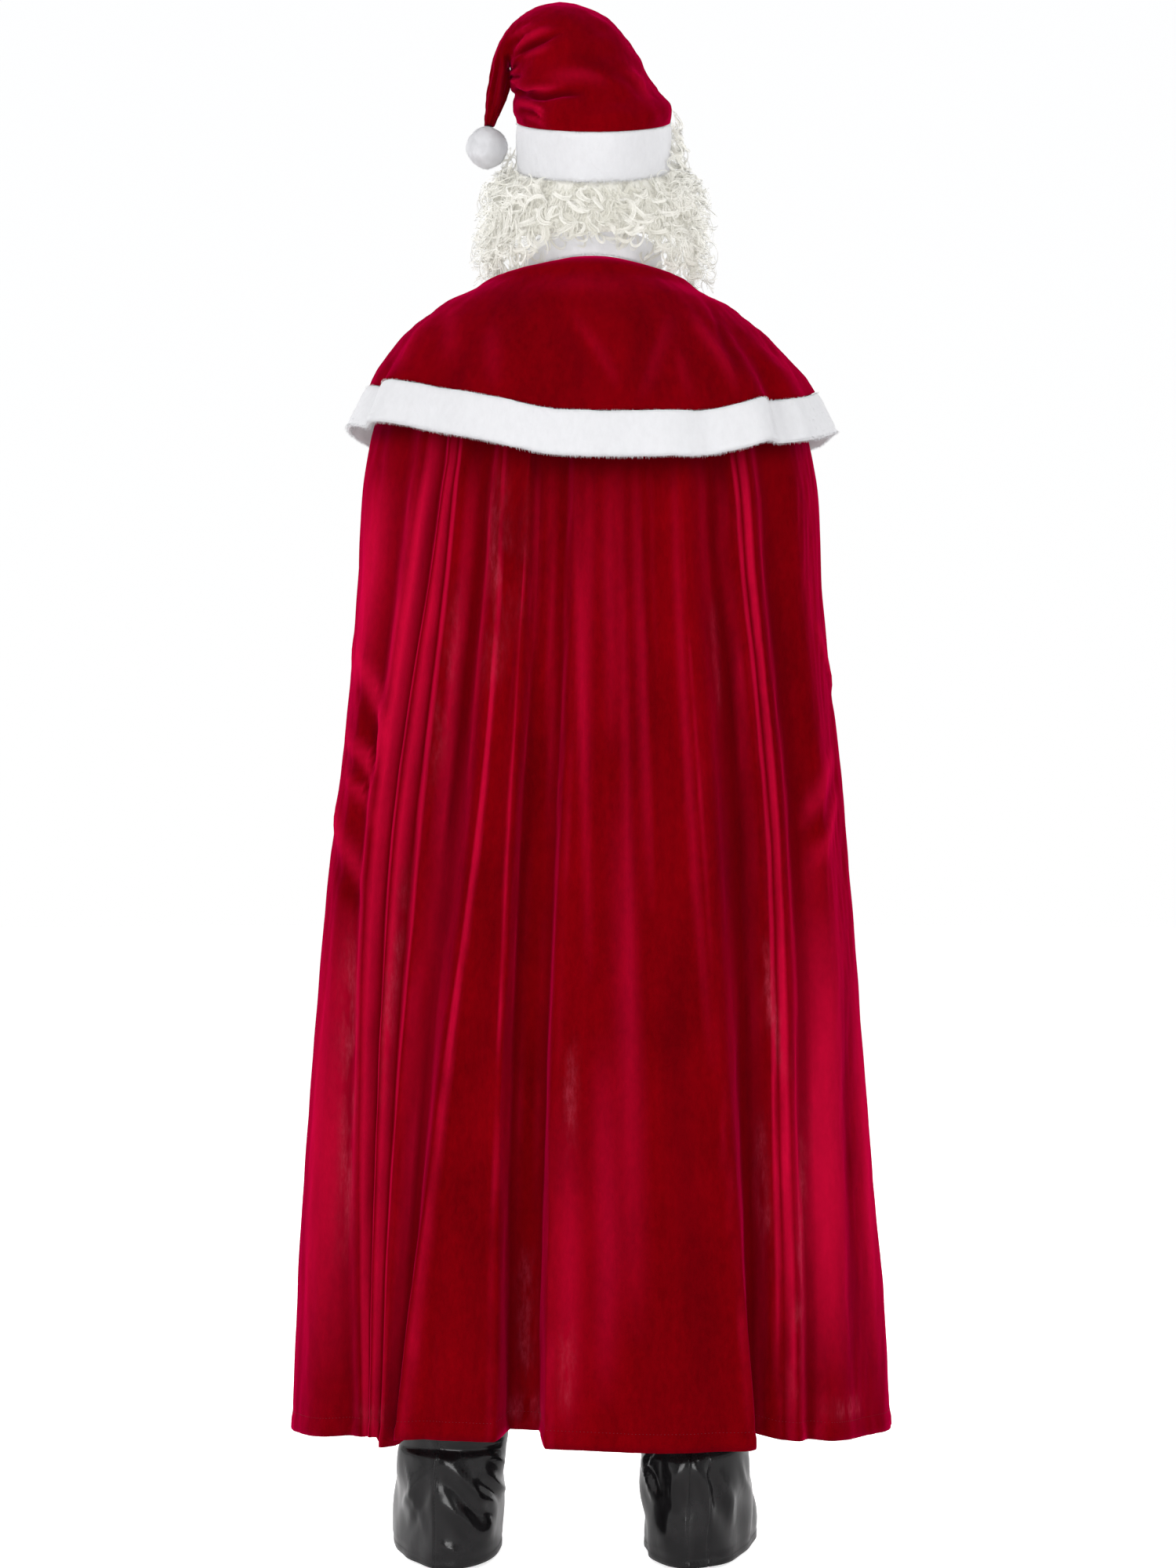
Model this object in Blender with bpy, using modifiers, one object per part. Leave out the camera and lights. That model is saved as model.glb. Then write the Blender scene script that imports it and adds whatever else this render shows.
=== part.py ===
"""Santa suit, worn and empty: hat, curly wig, cloak with a fur-trimmed capelet, belted
jacket, trousers and boot covers.

The suit hangs as it does on a wearer who is not there, so every piece is a hollow cloth
wall. +Z is up, the front faces -Y and the wearer's left is +X. Heights in the tables are
above the floor that the wearer stands on; the origin is the middle of the neck opening.
Angles go round the body from the middle of the back (0) over the left side (+90) or the
right side (-90) to the front (180).
"""

import math

import bmesh
import bpy
import numpy as np
from mathutils import Matrix, Vector

COLLECTION = "santa_suit"
NECK_HEIGHT = 1.500          # height of the origin above the floor
SEAM = 0.0003                # clearance left at a seam
LAYER = 0.0006               # clearance left between two layers that lie on each other

# ---------------------------------------------------------------------------------------
# Cloth and pile thicknesses
# ---------------------------------------------------------------------------------------
VELVET = 0.0020
JACKET_CLOTH = 0.0020
BOOT_CLOTH = 0.0016
BELT_THICKNESS = 0.0030
TRIM_PILE = 0.0100           # plush band, both faces together
CUFF_PILE = 0.0120
FRONT_PILE = 0.0090
PILE_SHOULDER = 0.14         # share of a band's height in which its pile rounds over
PILE_EDGE = 0.45             # thickness left at the band's edges, as a share

# ---------------------------------------------------------------------------------------
# Colours of the cloths (linear red, green, blue) with roughness and metallic
# ---------------------------------------------------------------------------------------
FINISHES = {
    "velvet": ((0.200, 0.001, 0.004), 0.85, 0.0),
    "plush": ((0.860, 0.860, 0.880), 0.95, 0.0),
    "curls": ((0.740, 0.710, 0.610), 0.70, 0.0),
    "patent": ((0.016, 0.015, 0.017), 0.30, 0.0),
    "buckle_metal": ((0.620, 0.560, 0.420), 0.35, 1.0),
}

# ---------------------------------------------------------------------------------------
# Cloak: a gathered panel from the neck to the calf, open at the front
# ---------------------------------------------------------------------------------------
CLOAK_SECTIONS = (
    # height, left half-width, right half-width, back depth, front depth, drop of the front
    (1.5310, 0.0775, 0.0775, 0.0735, 0.0735, 0.045),
    (1.5050, 0.1220, 0.1020, 0.0950, 0.0900, 0.032),
    (1.4700, 0.1850, 0.1660, 0.1160, 0.1090, 0.018),
    (1.4200, 0.2290, 0.2200, 0.1310, 0.1230, 0.006),
    (1.3600, 0.2530, 0.2490, 0.1410, 0.1330, 0.000),
    (1.2880, 0.2690, 0.2660, 0.1500, 0.1400, 0.000),
    (1.1500, 0.2790, 0.2750, 0.1570, 0.1460, 0.000),
    (0.9900, 0.2930, 0.2910, 0.1650, 0.1520, 0.000),
    (0.8200, 0.3130, 0.3070, 0.1730, 0.1580, 0.000),
    (0.6500, 0.3300, 0.3210, 0.1810, 0.1640, 0.000),
    (0.4800, 0.3430, 0.3320, 0.1900, 0.1710, 0.000),
    (0.3200, 0.3530, 0.3460, 0.1990, 0.1780, 0.000),
    (0.1550, 0.3600, 0.3550, 0.2080, 0.1850, 0.000),
)
SHOULDER_ROW = 5             # the last section above the straight fall of the cloth

CLOAK_FOLDS = (
    # Each row is one fold line: its angle at the shoulder, hip, knee and hem, then how far
    # it stands out of the section (mm) at the shoulder, hip and hem.
    # name, shoulder, hip, knee, hem, out_shoulder, out_hip, out_hem
    ("front edge left", 148.0, 147.0, 146.0, 145.0, 0, 0, 0),
    ("front ridge left", 137.0, 134.0, 133.0, 132.0, 4, 7, 12),
    ("front groove left", 124.0, 122.0, 121.0, 120.0, -4, -7, -12),
    ("arm ridge left", 108.0, 108.0, 107.0, 106.0, 3, 4, 10),
    ("side left", 90.0, 91.0, 91.0, 91.0, 1, 0, -3),
    ("rear side left", 78.0, 78.0, 76.0, 74.0, 0, 1, 3),
    ("panel ridge left", 66.0, 68.5, 66.0, 59.0, 1, 3, 9),
    ("panel groove left", 54.0, 60.5, 57.5, 51.5, -2, -4, -6),
    ("elbow ridge", 45.7, 54.5, 51.6, 47.0, 8, 8, 2),
    ("elbow groove", 40.6, 49.8, 48.4, 45.6, -6, -8, -5),
    ("left fold 1", 37.8, 46.0, 45.4, 44.2, 6, 9, 6),
    ("left groove 1", 35.8, 42.0, 43.0, 42.9, -1, -6, -2),
    ("left fold 2", 33.5, 37.8, 40.4, 41.4, 7, 9, 9),
    ("left groove 2", 26.6, 31.2, 34.8, 38.4, -8, -12, -16),
    ("left fold 3", 22.4, 24.4, 30.7, 37.2, 5, 10, 14),
    ("left hollow 3", 20.2, 22.2, 27.4, 31.6, 1, 4, 4),
    ("left swell 3", 18.2, 20.0, 24.0, 26.8, 2, 5, 9),
    ("left fold 4", 15.1, 17.0, 17.6, 17.4, 7, 10, 14),
    ("centre groove left", 12.2, 14.4, 15.8, 15.6, -5, -11, -24),
    ("centre groove right", 6.2, 8.2, 9.4, 10.0, -5, -10, -22),
    ("centre fold", 3.4, 5.6, 7.6, 8.2, 7, 10, 15),
    ("back panel middle", -4.5, -3.0, -2.0, -1.0, 3, 6, 8),
    ("back panel hollow", -12.8, -11.1, -10.6, -9.9, 0, 2, 5),
    ("back panel swell", -17.5, -18.0, -19.0, -21.0, 3, 6, 9),
    ("right fold 1", -22.0, -24.3, -26.7, -30.2, 8, 13, 18),
    ("right groove 1", -31.0, -34.5, -33.6, -32.0, -11, -17, -25),
    ("right fold 2", -36.0, -39.6, -38.2, -36.2, 7, 10, -4),
    ("right hollow 2", -38.6, -42.2, -40.6, -38.6, 3, 4, -3),
    ("right fold 3", -41.2, -44.6, -43.0, -41.2, 9, 9, 6),
    ("panel groove right", -47.5, -51.0, -48.5, -45.2, -5, -8, -8),
    ("panel ridge right", -60.0, -61.0, -57.0, -50.0, 3, 6, 9),
    ("rear side right", -74.0, -74.0, -71.0, -66.0, -1, -3, -5),
    ("side right", -89.0, -89.0, -88.0, -86.0, 1, 0, 2),
    ("arm ridge right", -107.0, -107.0, -106.0, -105.0, 3, 4, 9),
    ("front groove right", -124.0, -122.0, -121.0, -120.0, -4, -7, -12),
    ("front ridge right", -137.0, -134.0, -133.0, -132.0, 4, 7, 12),
    ("front edge right", -148.0, -147.0, -146.0, -145.0, 0, 0, 0),
)
FOLD_HEIGHTS = (1.288, 0.913, 0.538, 0.163)      # where the fold angles are given
DEPTH_HEIGHTS = (1.288, 0.913, 0.163)            # where the fold depths are given
FOLD_FADE = (1.500, 1.380)                       # folds grow from nothing to full depth here
STEPS_PER_FOLD = 3                               # columns from one fold line to the next

CLOAK_HEM = (
    # angle, height of the hem
    (-148.0, 0.150), (-90.0, 0.150), (-60.0, 0.158), (-38.0, 0.168), (-32.0, 0.176),
    (-30.0, 0.164), (-12.0, 0.163), (8.2, 0.171), (10.0, 0.184), (15.6, 0.184),
    (17.4, 0.177), (37.2, 0.172), (39.2, 0.160), (42.6, 0.160), (43.4, 0.170),
    (62.0, 0.160), (90.0, 0.150), (148.0, 0.150),
)

# ---------------------------------------------------------------------------------------
# Capelet: a short cape over the shoulders with a plush band round its hem
# ---------------------------------------------------------------------------------------
CAPELET_SECTIONS = (
    # height, left half-width, right half-width, back depth, front depth
    (1.533, 0.080, 0.080, 0.0760, 0.0760),
    (1.513, 0.146, 0.122, 0.1020, 0.0960),
    (1.494, 0.182, 0.161, 0.1170, 0.1100),
    (1.475, 0.206, 0.187, 0.1290, 0.1200),
    (1.457, 0.225, 0.207, 0.1380, 0.1280),
    (1.438, 0.239, 0.223, 0.1460, 0.1350),
    (1.419, 0.251, 0.240, 0.1530, 0.1400),
    (1.400, 0.262, 0.256, 0.1590, 0.1450),
    (1.382, 0.270, 0.267, 0.1650, 0.1490),
    (1.363, 0.278, 0.275, 0.1710, 0.1530),
    (1.344, 0.284, 0.282, 0.1770, 0.1560),
)
CAPELET_DROP = 0.045                             # fall of the neck edge towards the front
CAPELET_ROWS = (0.0, 0.10, 0.24, 0.40, 0.58, 0.78, 1.0)

CAPELET_FOLDS = (
    # angle of the fold line, height of the hem there, how far it stands out at the hem (mm)
    (147.0, 1.3700, 0), (128.0, 1.3720, 5), (112.0, 1.3780, -2), (98.0, 1.3880, 2),
    (86.0, 1.3920, 0), (76.0, 1.3900, -3), (68.5, 1.3860, -6), (63.0, 1.3900, 7),
    (50.0, 1.3850, 3), (40.0, 1.3760, -2), (30.0, 1.3680, 2), (20.0, 1.3580, 1),
    (11.0, 1.3480, -4), (2.0, 1.3440, 2), (-9.0, 1.3440, -2), (-18.0, 1.3450, 3),
    (-28.0, 1.3470, -3), (-37.0, 1.3560, 5), (-44.5, 1.3650, 8), (-49.0, 1.3640, -6),
    (-58.0, 1.3680, 4), (-70.0, 1.3750, -2), (-82.0, 1.3830, 1), (-94.0, 1.3860, 0),
    (-110.0, 1.3780, 3), (-128.0, 1.3720, -3), (-147.0, 1.3700, 0),
)
TRIM_HEIGHT = 0.056
TRIM_LEAN_BACK = 12.0                            # outward lean of the band, degrees
TRIM_LEAN_SIDE = 27.0

# ---------------------------------------------------------------------------------------
# Collar
# ---------------------------------------------------------------------------------------
COLLAR_HEIGHT = 0.034
COLLAR_HALF_WIDTH = 0.0850                       # to the outside of the pile, at the foot
COLLAR_HALF_DEPTH = 0.0810
COLLAR_OPENING = 14.0                            # half the front gap, degrees
COLLAR_COLUMNS = 29

# ---------------------------------------------------------------------------------------
# Hat and wig, in a frame that tips back with the head
# ---------------------------------------------------------------------------------------
HAT_SEAT = Vector((-0.002, -0.005, 1.651))       # middle of the band's lower edge
HEAD_TILT = 18.0
BAND_HEIGHT = 0.059
BAND_PILE = 0.0130
BAND_HALF_WIDTH = 0.0935
BAND_HALF_DEPTH = 0.1155

CROWN_RINGS = (
    # x, y, height of the middle, half-width, half-depth, lean to the left, tilt back, tuck
    (-0.0020, 0.0134, 1.7076, 0.0880, 0.1060, 0.0, 18.0, 0.000),
    (-0.0010, 0.0150, 1.7220, 0.0940, 0.1100, 2.0, 17.0, 0.000),
    (0.0080, 0.0170, 1.7360, 0.0865, 0.1050, 4.7, 15.0, 0.002),
    (0.0150, 0.0190, 1.7500, 0.0800, 0.0980, 9.0, 12.0, 0.010),
    (0.0215, 0.0200, 1.7640, 0.0766, 0.0910, 16.0, 9.0, 0.000),
    (0.0320, 0.0200, 1.7810, 0.0720, 0.0830, 26.0, 6.0, 0.000),
    (0.0485, 0.0200, 1.7970, 0.0640, 0.0720, 39.0, 3.0, 0.003),
    (0.0690, 0.0200, 1.8050, 0.0514, 0.0580, 54.7, 0.0, 0.000),
    (0.0895, 0.0210, 1.8010, 0.0330, 0.0400, 76.0, 0.0, 0.003),
    (0.1060, 0.0220, 1.7860, 0.0160, 0.0230, 106.0, 0.0, 0.000),
    (0.1140, 0.0230, 1.7580, 0.0105, 0.0160, 155.0, 0.0, 0.000),
    (0.1185, 0.0240, 1.7310, 0.0090, 0.0120, 165.0, 0.0, 0.000),
    (0.1226, 0.0240, 1.6990, 0.0058, 0.0070, 174.0, 0.0, 0.000),
)
CROWN_COLUMNS = 20
TUCK_ANGLE = 45.0                                # the tucks are deepest back and left
BOBBLE_RADIUS = 0.0255

WIG_ROWS = (
    # up from the band's lower edge, half-width, half-depth, tilt, thickness, curl depth
    (0.1320, 0.0200, 0.0240, 18.0, 0.003, 0.000),
    (0.1200, 0.0480, 0.0580, 18.0, 0.003, 0.000),
    (0.0950, 0.0670, 0.0830, 18.0, 0.003, 0.000),
    (0.0620, 0.0760, 0.0960, 18.0, 0.003, 0.000),
    (0.0300, 0.0784, 0.0998, 18.0, 0.003, 0.000),
    (0.0040, 0.0786, 0.1004, 18.0, 0.003, 0.000),
    (-0.0004, 0.0786, 0.1004, 18.0, 0.003, 0.000),
    (-0.0009, 0.0985, 0.1175, 18.0, 0.012, 0.000),
    (-0.0200, 0.1180, 0.1300, 16.0, 0.024, 0.006),
    (-0.0450, 0.1280, 0.1350, 10.0, 0.020, -0.006),
    (-0.0700, 0.1320, 0.1330, 5.0, 0.014, 0.005),
    (-0.0880, 0.1330, 0.1250, 2.0, 0.011, -0.004),
    (-0.1010, 0.1290, 0.0903, 0.0, 0.008, 0.000),
)
WIG_COLUMNS = 28
WIG_CURLS = 7                                    # lumps of curls round the head
FACE_ROW = 7                                     # the wig is open at the face from here
FACE_OPENING = 66.0                              # half the face opening, degrees
WIG_HEM = (
    # angle, height of the lowest curls
    (0.0, 1.5490), (40.0, 1.5440), (65.0, 1.5330), (90.0, 1.5270), (180.0, 1.5240),
)

# ---------------------------------------------------------------------------------------
# Jacket, belt and trousers
# ---------------------------------------------------------------------------------------
JACKET_SECTIONS = (
    # height, half-width, half-depth, drop of the front
    (1.5295, 0.0750, 0.0710, 0.045),
    (1.4860, 0.1050, 0.0840, 0.026),
    (1.4640, 0.1400, 0.0960, 0.014),
    (1.4400, 0.1650, 0.1040, 0.005),
    (1.4150, 0.1740, 0.1080, 0.000),
    (1.3650, 0.1770, 0.1130, 0.000),
    (1.3050, 0.1770, 0.1170, 0.000),
    (1.2500, 0.1740, 0.1200, 0.000),
    (1.1500, 0.1640, 0.1190, 0.000),
    (1.0700, 0.1580, 0.1160, 0.000),
    (1.0100, 0.1580, 0.1160, 0.000),
    (0.9400, 0.1640, 0.1230, 0.000),
    (0.8700, 0.1670, 0.1320, 0.000),
    (0.8000, 0.1820, 0.1420, 0.000),
)
PANEL_STEP = 15.0                                # degrees from one column to the next
PANEL_SEAM = 0.00045                             # half of a side seam's gap
ARMHOLE_TOP_ROW = 4
ARMHOLE_FOOT_ROW = 7
ARMHOLE_STEPS = 2                                # columns cut away on each side of a seam

SLEEVE_RINGS = (
    # x, y, height of the middle, half-height, half-depth, how far the arm has turned down
    (0.1920, 0.000, 1.3320, 0.0830, 0.0700, 7.0),
    (0.2060, 0.000, 1.3060, 0.0730, 0.0640, 18.0),
    (0.2140, 0.002, 1.2480, 0.0540, 0.0580, 40.0),
    (0.2190, 0.006, 1.1550, 0.0460, 0.0520, 72.0),
    (0.2220, 0.010, 1.0900, 0.0480, 0.0530, 86.0),
    (0.2235, 0.002, 1.0000, 0.0450, 0.0490, 89.0),
    (0.2240, -0.008, 0.9150, 0.0460, 0.0490, 89.0),
)
CUFF_HEIGHT = 0.060
CUFF_HALF_WIDTH = 0.0540
CUFF_COLUMNS = 18

HEM_TRIM_HEIGHT = 0.060
FRONT_TRIM_HALF_WIDTH = 0.026
FRONT_TRIM_TOP_ROW = 2
FRONT_TRIM_CROWN = 0.8                           # the pile's face is this much of its foot
BELT_TOP = 1.0650
BELT_FOOT = 1.0150
BELT_BUMP = 0.0104                               # the belt rides over the front band
BUCKLE_HALF_WIDTH = 0.036
BUCKLE_HALF_HEIGHT = 0.033
BUCKLE_RAIL = 0.009
BUCKLE_THICKNESS = 0.0035
BUCKLE_CORNER = 0.006                            # cut of the outer corners
BUCKLE_CORNER_SHARE = 0.4                        # the inner cut shrinks this fast inwards

HIP_SECTIONS = (
    # height, half-width, half-depth
    (1.0620, 0.1540, 0.1120),
    (1.0100, 0.1540, 0.1120),
    (0.9300, 0.1580, 0.1180),
    (0.8600, 0.1600, 0.1230),
    (0.8050, 0.1610, 0.1200),
)
LEG_SECTIONS = (
    # height, half-width, half-depth
    (0.7600, 0.0730, 0.1000),
    (0.6500, 0.0720, 0.0900),
    (0.5400, 0.0690, 0.0800),
    (0.4650, 0.0608, 0.0662),
    (0.4300, 0.0608, 0.0662),
    (0.3850, 0.0588, 0.0612),
)
HIP_HEIGHT = 0.80
HIP_CENTRE = 0.088
ANKLE_HEIGHT = 0.10
ANKLE_CENTRE = {"left": 0.1700, "right": 0.1245}
RISE_GAP = 0.00050                               # half of the gap at the middle seam
RISE_DIP = 0.030                                 # the middle seam hangs between the legs
RISE_DEPTH = 0.97                                # and runs just inside the seat's depth
OUTER_STEPS = 11                                 # columns from mid back to mid front
INNER_STEPS = 5                                  # columns along the inside leg

BOOT_SECTIONS = (
    # height, half-width, half-depth, middle
    (0.4400, 0.0642, 0.0702, 0.000),
    (0.3600, 0.0620, 0.0660, 0.002),
    (0.2600, 0.0600, 0.0625, 0.010),
    (0.1700, 0.0610, 0.0630, 0.018),
    (0.1300, 0.0640, 0.0690, 0.020),
    (0.1000, 0.0650, 0.0830, 0.009),
    (0.0700, 0.0655, 0.1070, -0.014),
    (0.0400, 0.0650, 0.1290, -0.034),
    (0.0040, 0.0655, 0.1430, -0.047),
)
BOOT_COLUMNS = 18
BOOT_TURN = {"left": 6.0, "right": -9.0}         # toes turned out, degrees

SIDES = {"left": 1.0, "right": -1.0}


# ---------------------------------------------------------------------------------------
# Reading the tables
# ---------------------------------------------------------------------------------------
def place(x, y, height):
    """A point given by its height above the floor, in the part's own frame."""
    return Vector((x, y, height - NECK_HEIGHT))


def smooth_value(keys, values, key):
    """Cubic reading of a short table, held at its ends."""
    order = np.argsort(keys)
    keys = np.asarray(keys, float)[order]
    values = np.asarray(values, float)[order]
    key = min(max(key, keys[0]), keys[-1])
    slopes = np.gradient(values, keys)
    index = int(min(max(np.searchsorted(keys, key) - 1, 0), len(keys) - 2))
    step = keys[index + 1] - keys[index]
    t = (key - keys[index]) / step
    return float((2 * t ** 3 - 3 * t ** 2 + 1) * values[index]
                 + (t ** 3 - 2 * t ** 2 + t) * step * slopes[index]
                 + (3 * t ** 2 - 2 * t ** 3) * values[index + 1]
                 + (t ** 3 - t ** 2) * step * slopes[index + 1])


def column(table, index):
    """One column of a table."""
    return [row[index] for row in table]


def section_point(angle, widths, depths, out=0.0):
    """Point and outward direction on an oval section.

    widths and depths are (left, right) and (back, front) half sizes.
    """
    turn = math.radians(angle)
    width = widths[0] if angle >= 0 else widths[1]
    depth = depths[0] if abs(angle) <= 90 else depths[1]
    outward = Vector((math.sin(turn) / width, math.cos(turn) / depth, 0)).normalized()
    point = Vector((width * math.sin(turn), depth * math.cos(turn), 0)) + outward * out
    return point, outward


def front_share(angle):
    """0 at the middle of the back, 1 at the middle of the front."""
    return (1 - math.cos(math.radians(angle))) / 2


def smoothstep(t):
    t = min(max(t, 0.0), 1.0)
    return t * t * (3 - 2 * t)


# ---------------------------------------------------------------------------------------
# Building objects
# ---------------------------------------------------------------------------------------
def finish_of(name):
    """The named finish, made once."""
    material = bpy.data.materials.get(name)
    if material:
        return material
    colour, roughness, metallic = FINISHES[name]
    material = bpy.data.materials.new(name)
    material.use_nodes = True
    shader = material.node_tree.nodes["Principled BSDF"]
    shader.inputs["Base Color"].default_value = (*colour, 1)
    shader.inputs["Roughness"].default_value = roughness
    shader.inputs["Metallic"].default_value = metallic
    material.diffuse_color = (*colour, 1)
    return material


def add_object(name, data, finish):
    """Link an object holding the data to the suit's collection."""
    data.materials.append(finish_of(finish))
    piece = bpy.data.objects.new(name, data)
    bpy.data.collections[COLLECTION].objects.link(piece)
    return piece


def cloth(name, rows, finish, wall, closed=False, missing=None, walls=None, cap=False):
    """A cloth wall: an open surface through the rows, thickened inwards.

    Rows run from the top down and their points from the back over the left side. A face
    for which missing(row, column) is true is left out. walls gives a wall for each row.
    """
    surface = bmesh.new()
    grid = [[surface.verts.new(point) for point in row] for row in rows]
    columns = len(rows[0])
    for r in range(len(rows) - 1):
        for c in range(columns if closed else columns - 1):
            if missing and missing(r, c):
                continue
            d = (c + 1) % columns
            surface.faces.new((grid[r][c], grid[r][d], grid[r + 1][d], grid[r + 1][c]))
    if cap:
        surface.faces.new(list(reversed(grid[0])))
    loose = [vertex for vertex in surface.verts if not vertex.link_faces]
    bmesh.ops.delete(surface, geom=loose, context="VERTS")
    mesh = bpy.data.meshes.new(name)
    surface.to_mesh(mesh)
    surface.free()
    mesh.shade_smooth()
    piece = add_object(name, mesh, finish)
    solid = piece.modifiers.new("wall", "SOLIDIFY")
    solid.thickness = wall
    solid.offset = -1
    solid.use_even_offset = walls is None
    solid.use_quality_normals = True
    if walls:
        group = piece.vertex_groups.new(name="wall")
        for r, share in enumerate(walls):
            group.add(list(range(r * columns, (r + 1) * columns)), share / wall, "REPLACE")
        solid.vertex_group = group.name
    return piece


def band(name, stations, finish, closed=False):
    """A closed solid lofted through stations, each a ring of section points."""
    surface = bmesh.new()
    rings = [[surface.verts.new(point) for point in station] for station in stations]
    count = len(rings[0])
    for s in range(len(rings) if closed else len(rings) - 1):
        this, following = rings[s], rings[(s + 1) % len(rings)]
        for k in range(count):
            j = (k + 1) % count
            surface.faces.new((this[k], this[j], following[j], following[k]))
    if not closed:
        surface.faces.new(rings[0])
        surface.faces.new(rings[-1])
    bmesh.ops.recalc_face_normals(surface, faces=surface.faces)
    mesh = bpy.data.meshes.new(name)
    surface.to_mesh(mesh)
    surface.free()
    mesh.shade_smooth()
    return add_object(name, mesh, finish)


def pile_section(thickness, height):
    """Outline of a plush band: (outward, downward) pairs, its upper edge at 0."""
    half = thickness / 2
    edge = half * PILE_EDGE
    shoulder = height * PILE_SHOULDER
    return ((half, shoulder), (edge, 0), (-edge, 0), (-half, shoulder),
            (-half, height - shoulder), (-edge, height), (edge, height),
            (half, height - shoulder))


# ---------------------------------------------------------------------------------------
# Cloak
# ---------------------------------------------------------------------------------------
def cloak_columns():
    """Each column as (fold line before it, share of the way to the next)."""
    steps = [(fold, step / STEPS_PER_FOLD)
             for fold in range(len(CLOAK_FOLDS) - 1) for step in range(STEPS_PER_FOLD)]
    return steps + [(len(CLOAK_FOLDS) - 2, 1.0)]


def fold_at(fold, height):
    """Angle and outward stand of a fold line at a height."""
    row = CLOAK_FOLDS[fold]
    angle = smooth_value(FOLD_HEIGHTS, row[1:5], height)
    out = smooth_value(DEPTH_HEIGHTS, row[5:8], height) / 1000
    fade = smoothstep((FOLD_FADE[0] - height) / (FOLD_FADE[0] - FOLD_FADE[1]))
    return angle, out * fade


def cloak_point(row, fold, share):
    """A point of the cloak's outer face."""
    height, left, right, back, front, drop = CLOAK_SECTIONS[row]
    angle_a, out_a = fold_at(fold, height)
    angle_b, out_b = fold_at(fold + 1, height)
    angle = angle_a + (angle_b - angle_a) * share
    out = out_a + (out_b - out_a) * smoothstep(share)
    point, _ = section_point(angle, (left, right), (back, front), out)
    if row > SHOULDER_ROW:
        top = CLOAK_SECTIONS[SHOULDER_ROW][0]
        foot = CLOAK_SECTIONS[-1][0]
        hem = float(np.interp(angle, column(CLOAK_HEM, 0), column(CLOAK_HEM, 1)))
        height += (hem - foot) * (top - height) / (top - foot)
    return place(point.x, point.y, height - drop * front_share(angle))


def make_cloak():
    """The gathered back and sides, from the neck to the hem."""
    columns = list(reversed(cloak_columns()))
    rows = [[cloak_point(row, fold, share) for fold, share in columns]
            for row in range(len(CLOAK_SECTIONS))]
    return cloth("cloak", rows, "velvet", VELVET)


# ---------------------------------------------------------------------------------------
# Capelet, its plush band and the collar
# ---------------------------------------------------------------------------------------
def capelet_edge(angle):
    """Height of the capelet's hem and its outward stand at an angle."""
    angles = column(CAPELET_FOLDS, 0)
    height = smooth_value(angles, column(CAPELET_FOLDS, 1), angle)
    out = smooth_value(angles, column(CAPELET_FOLDS, 2), angle) / 1000
    return height, out


def capelet_point(angle, down):
    """A point of the capelet's outer face and the outward direction there.

    down is 0 at the neck and 1 at the hem.
    """
    hem, out = capelet_edge(angle)
    heights = column(CAPELET_SECTIONS, 0)
    height = heights[0] + (hem - heights[0]) * down
    left, right, back, front = (smooth_value(heights, column(CAPELET_SECTIONS, k), height)
                                for k in (1, 2, 3, 4))
    point, outward = section_point(angle, (left, right), (back, front), out * down ** 2)
    drop = CAPELET_DROP * (1 - down) ** 2 * front_share(angle)
    return place(point.x, point.y, height - drop), outward


def capelet_angles():
    """Column angles: the fold lines and the middles between them."""
    lines = sorted(column(CAPELET_FOLDS, 0))
    angles = [lines[0]]
    for before, after in zip(lines, lines[1:]):
        angles += [(before + after) / 2, after]
    return angles


def make_capelet():
    rows = [[capelet_point(angle, down)[0] for angle in capelet_angles()]
            for down in CAPELET_ROWS]
    return cloth("capelet", rows, "velvet", VELVET)


def make_capelet_trim():
    """The plush band: it hangs from the capelet's hem and leans outwards."""
    stations = []
    for angle in capelet_angles():
        edge, outward = capelet_point(angle, 1.0)
        side = math.sin(math.radians(angle)) ** 2
        lean = math.radians(TRIM_LEAN_BACK + (TRIM_LEAN_SIDE - TRIM_LEAN_BACK) * side)
        down = outward * math.sin(lean) - Vector((0, 0, math.cos(lean)))
        across = outward * math.cos(lean) + Vector((0, 0, math.sin(lean)))
        start = edge - across * VELVET / 2 + down * (SEAM + LAYER)
        stations.append([start + across * out + down * fall
                         for out, fall in pile_section(TRIM_PILE, TRIM_HEIGHT)])
    return band("capelet_trim", stations, "plush")


def make_collar():
    """Stand-up plush collar on the neck edge, open at the front."""
    stations = []
    neck = CAPELET_SECTIONS[0][0] + SEAM
    half = CUFF_PILE / 2
    middle_width = COLLAR_HALF_WIDTH - half
    middle_depth = COLLAR_HALF_DEPTH - half
    for angle in np.linspace(COLLAR_OPENING - 180, 180 - COLLAR_OPENING,
                             COLLAR_COLUMNS):
        foot, outward = section_point(angle, (middle_width,) * 2, (middle_depth,) * 2)
        drop = CAPELET_DROP * front_share(angle)
        stations.append([place(foot.x, foot.y, neck - drop + COLLAR_HEIGHT - fall)
                         + outward * out
                         for out, fall in pile_section(CUFF_PILE, COLLAR_HEIGHT)])
    return band("collar", stations, "plush")


# ---------------------------------------------------------------------------------------
# Hat and wig
# ---------------------------------------------------------------------------------------
def head_point(x, y, up, tilt=HEAD_TILT):
    """A point in the tipped frame of the head, from the middle of the band's foot."""
    moved = Matrix.Rotation(-math.radians(tilt), 3, "X") @ Vector((x, y, up))
    return place(*(HAT_SEAT + moved))


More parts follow.
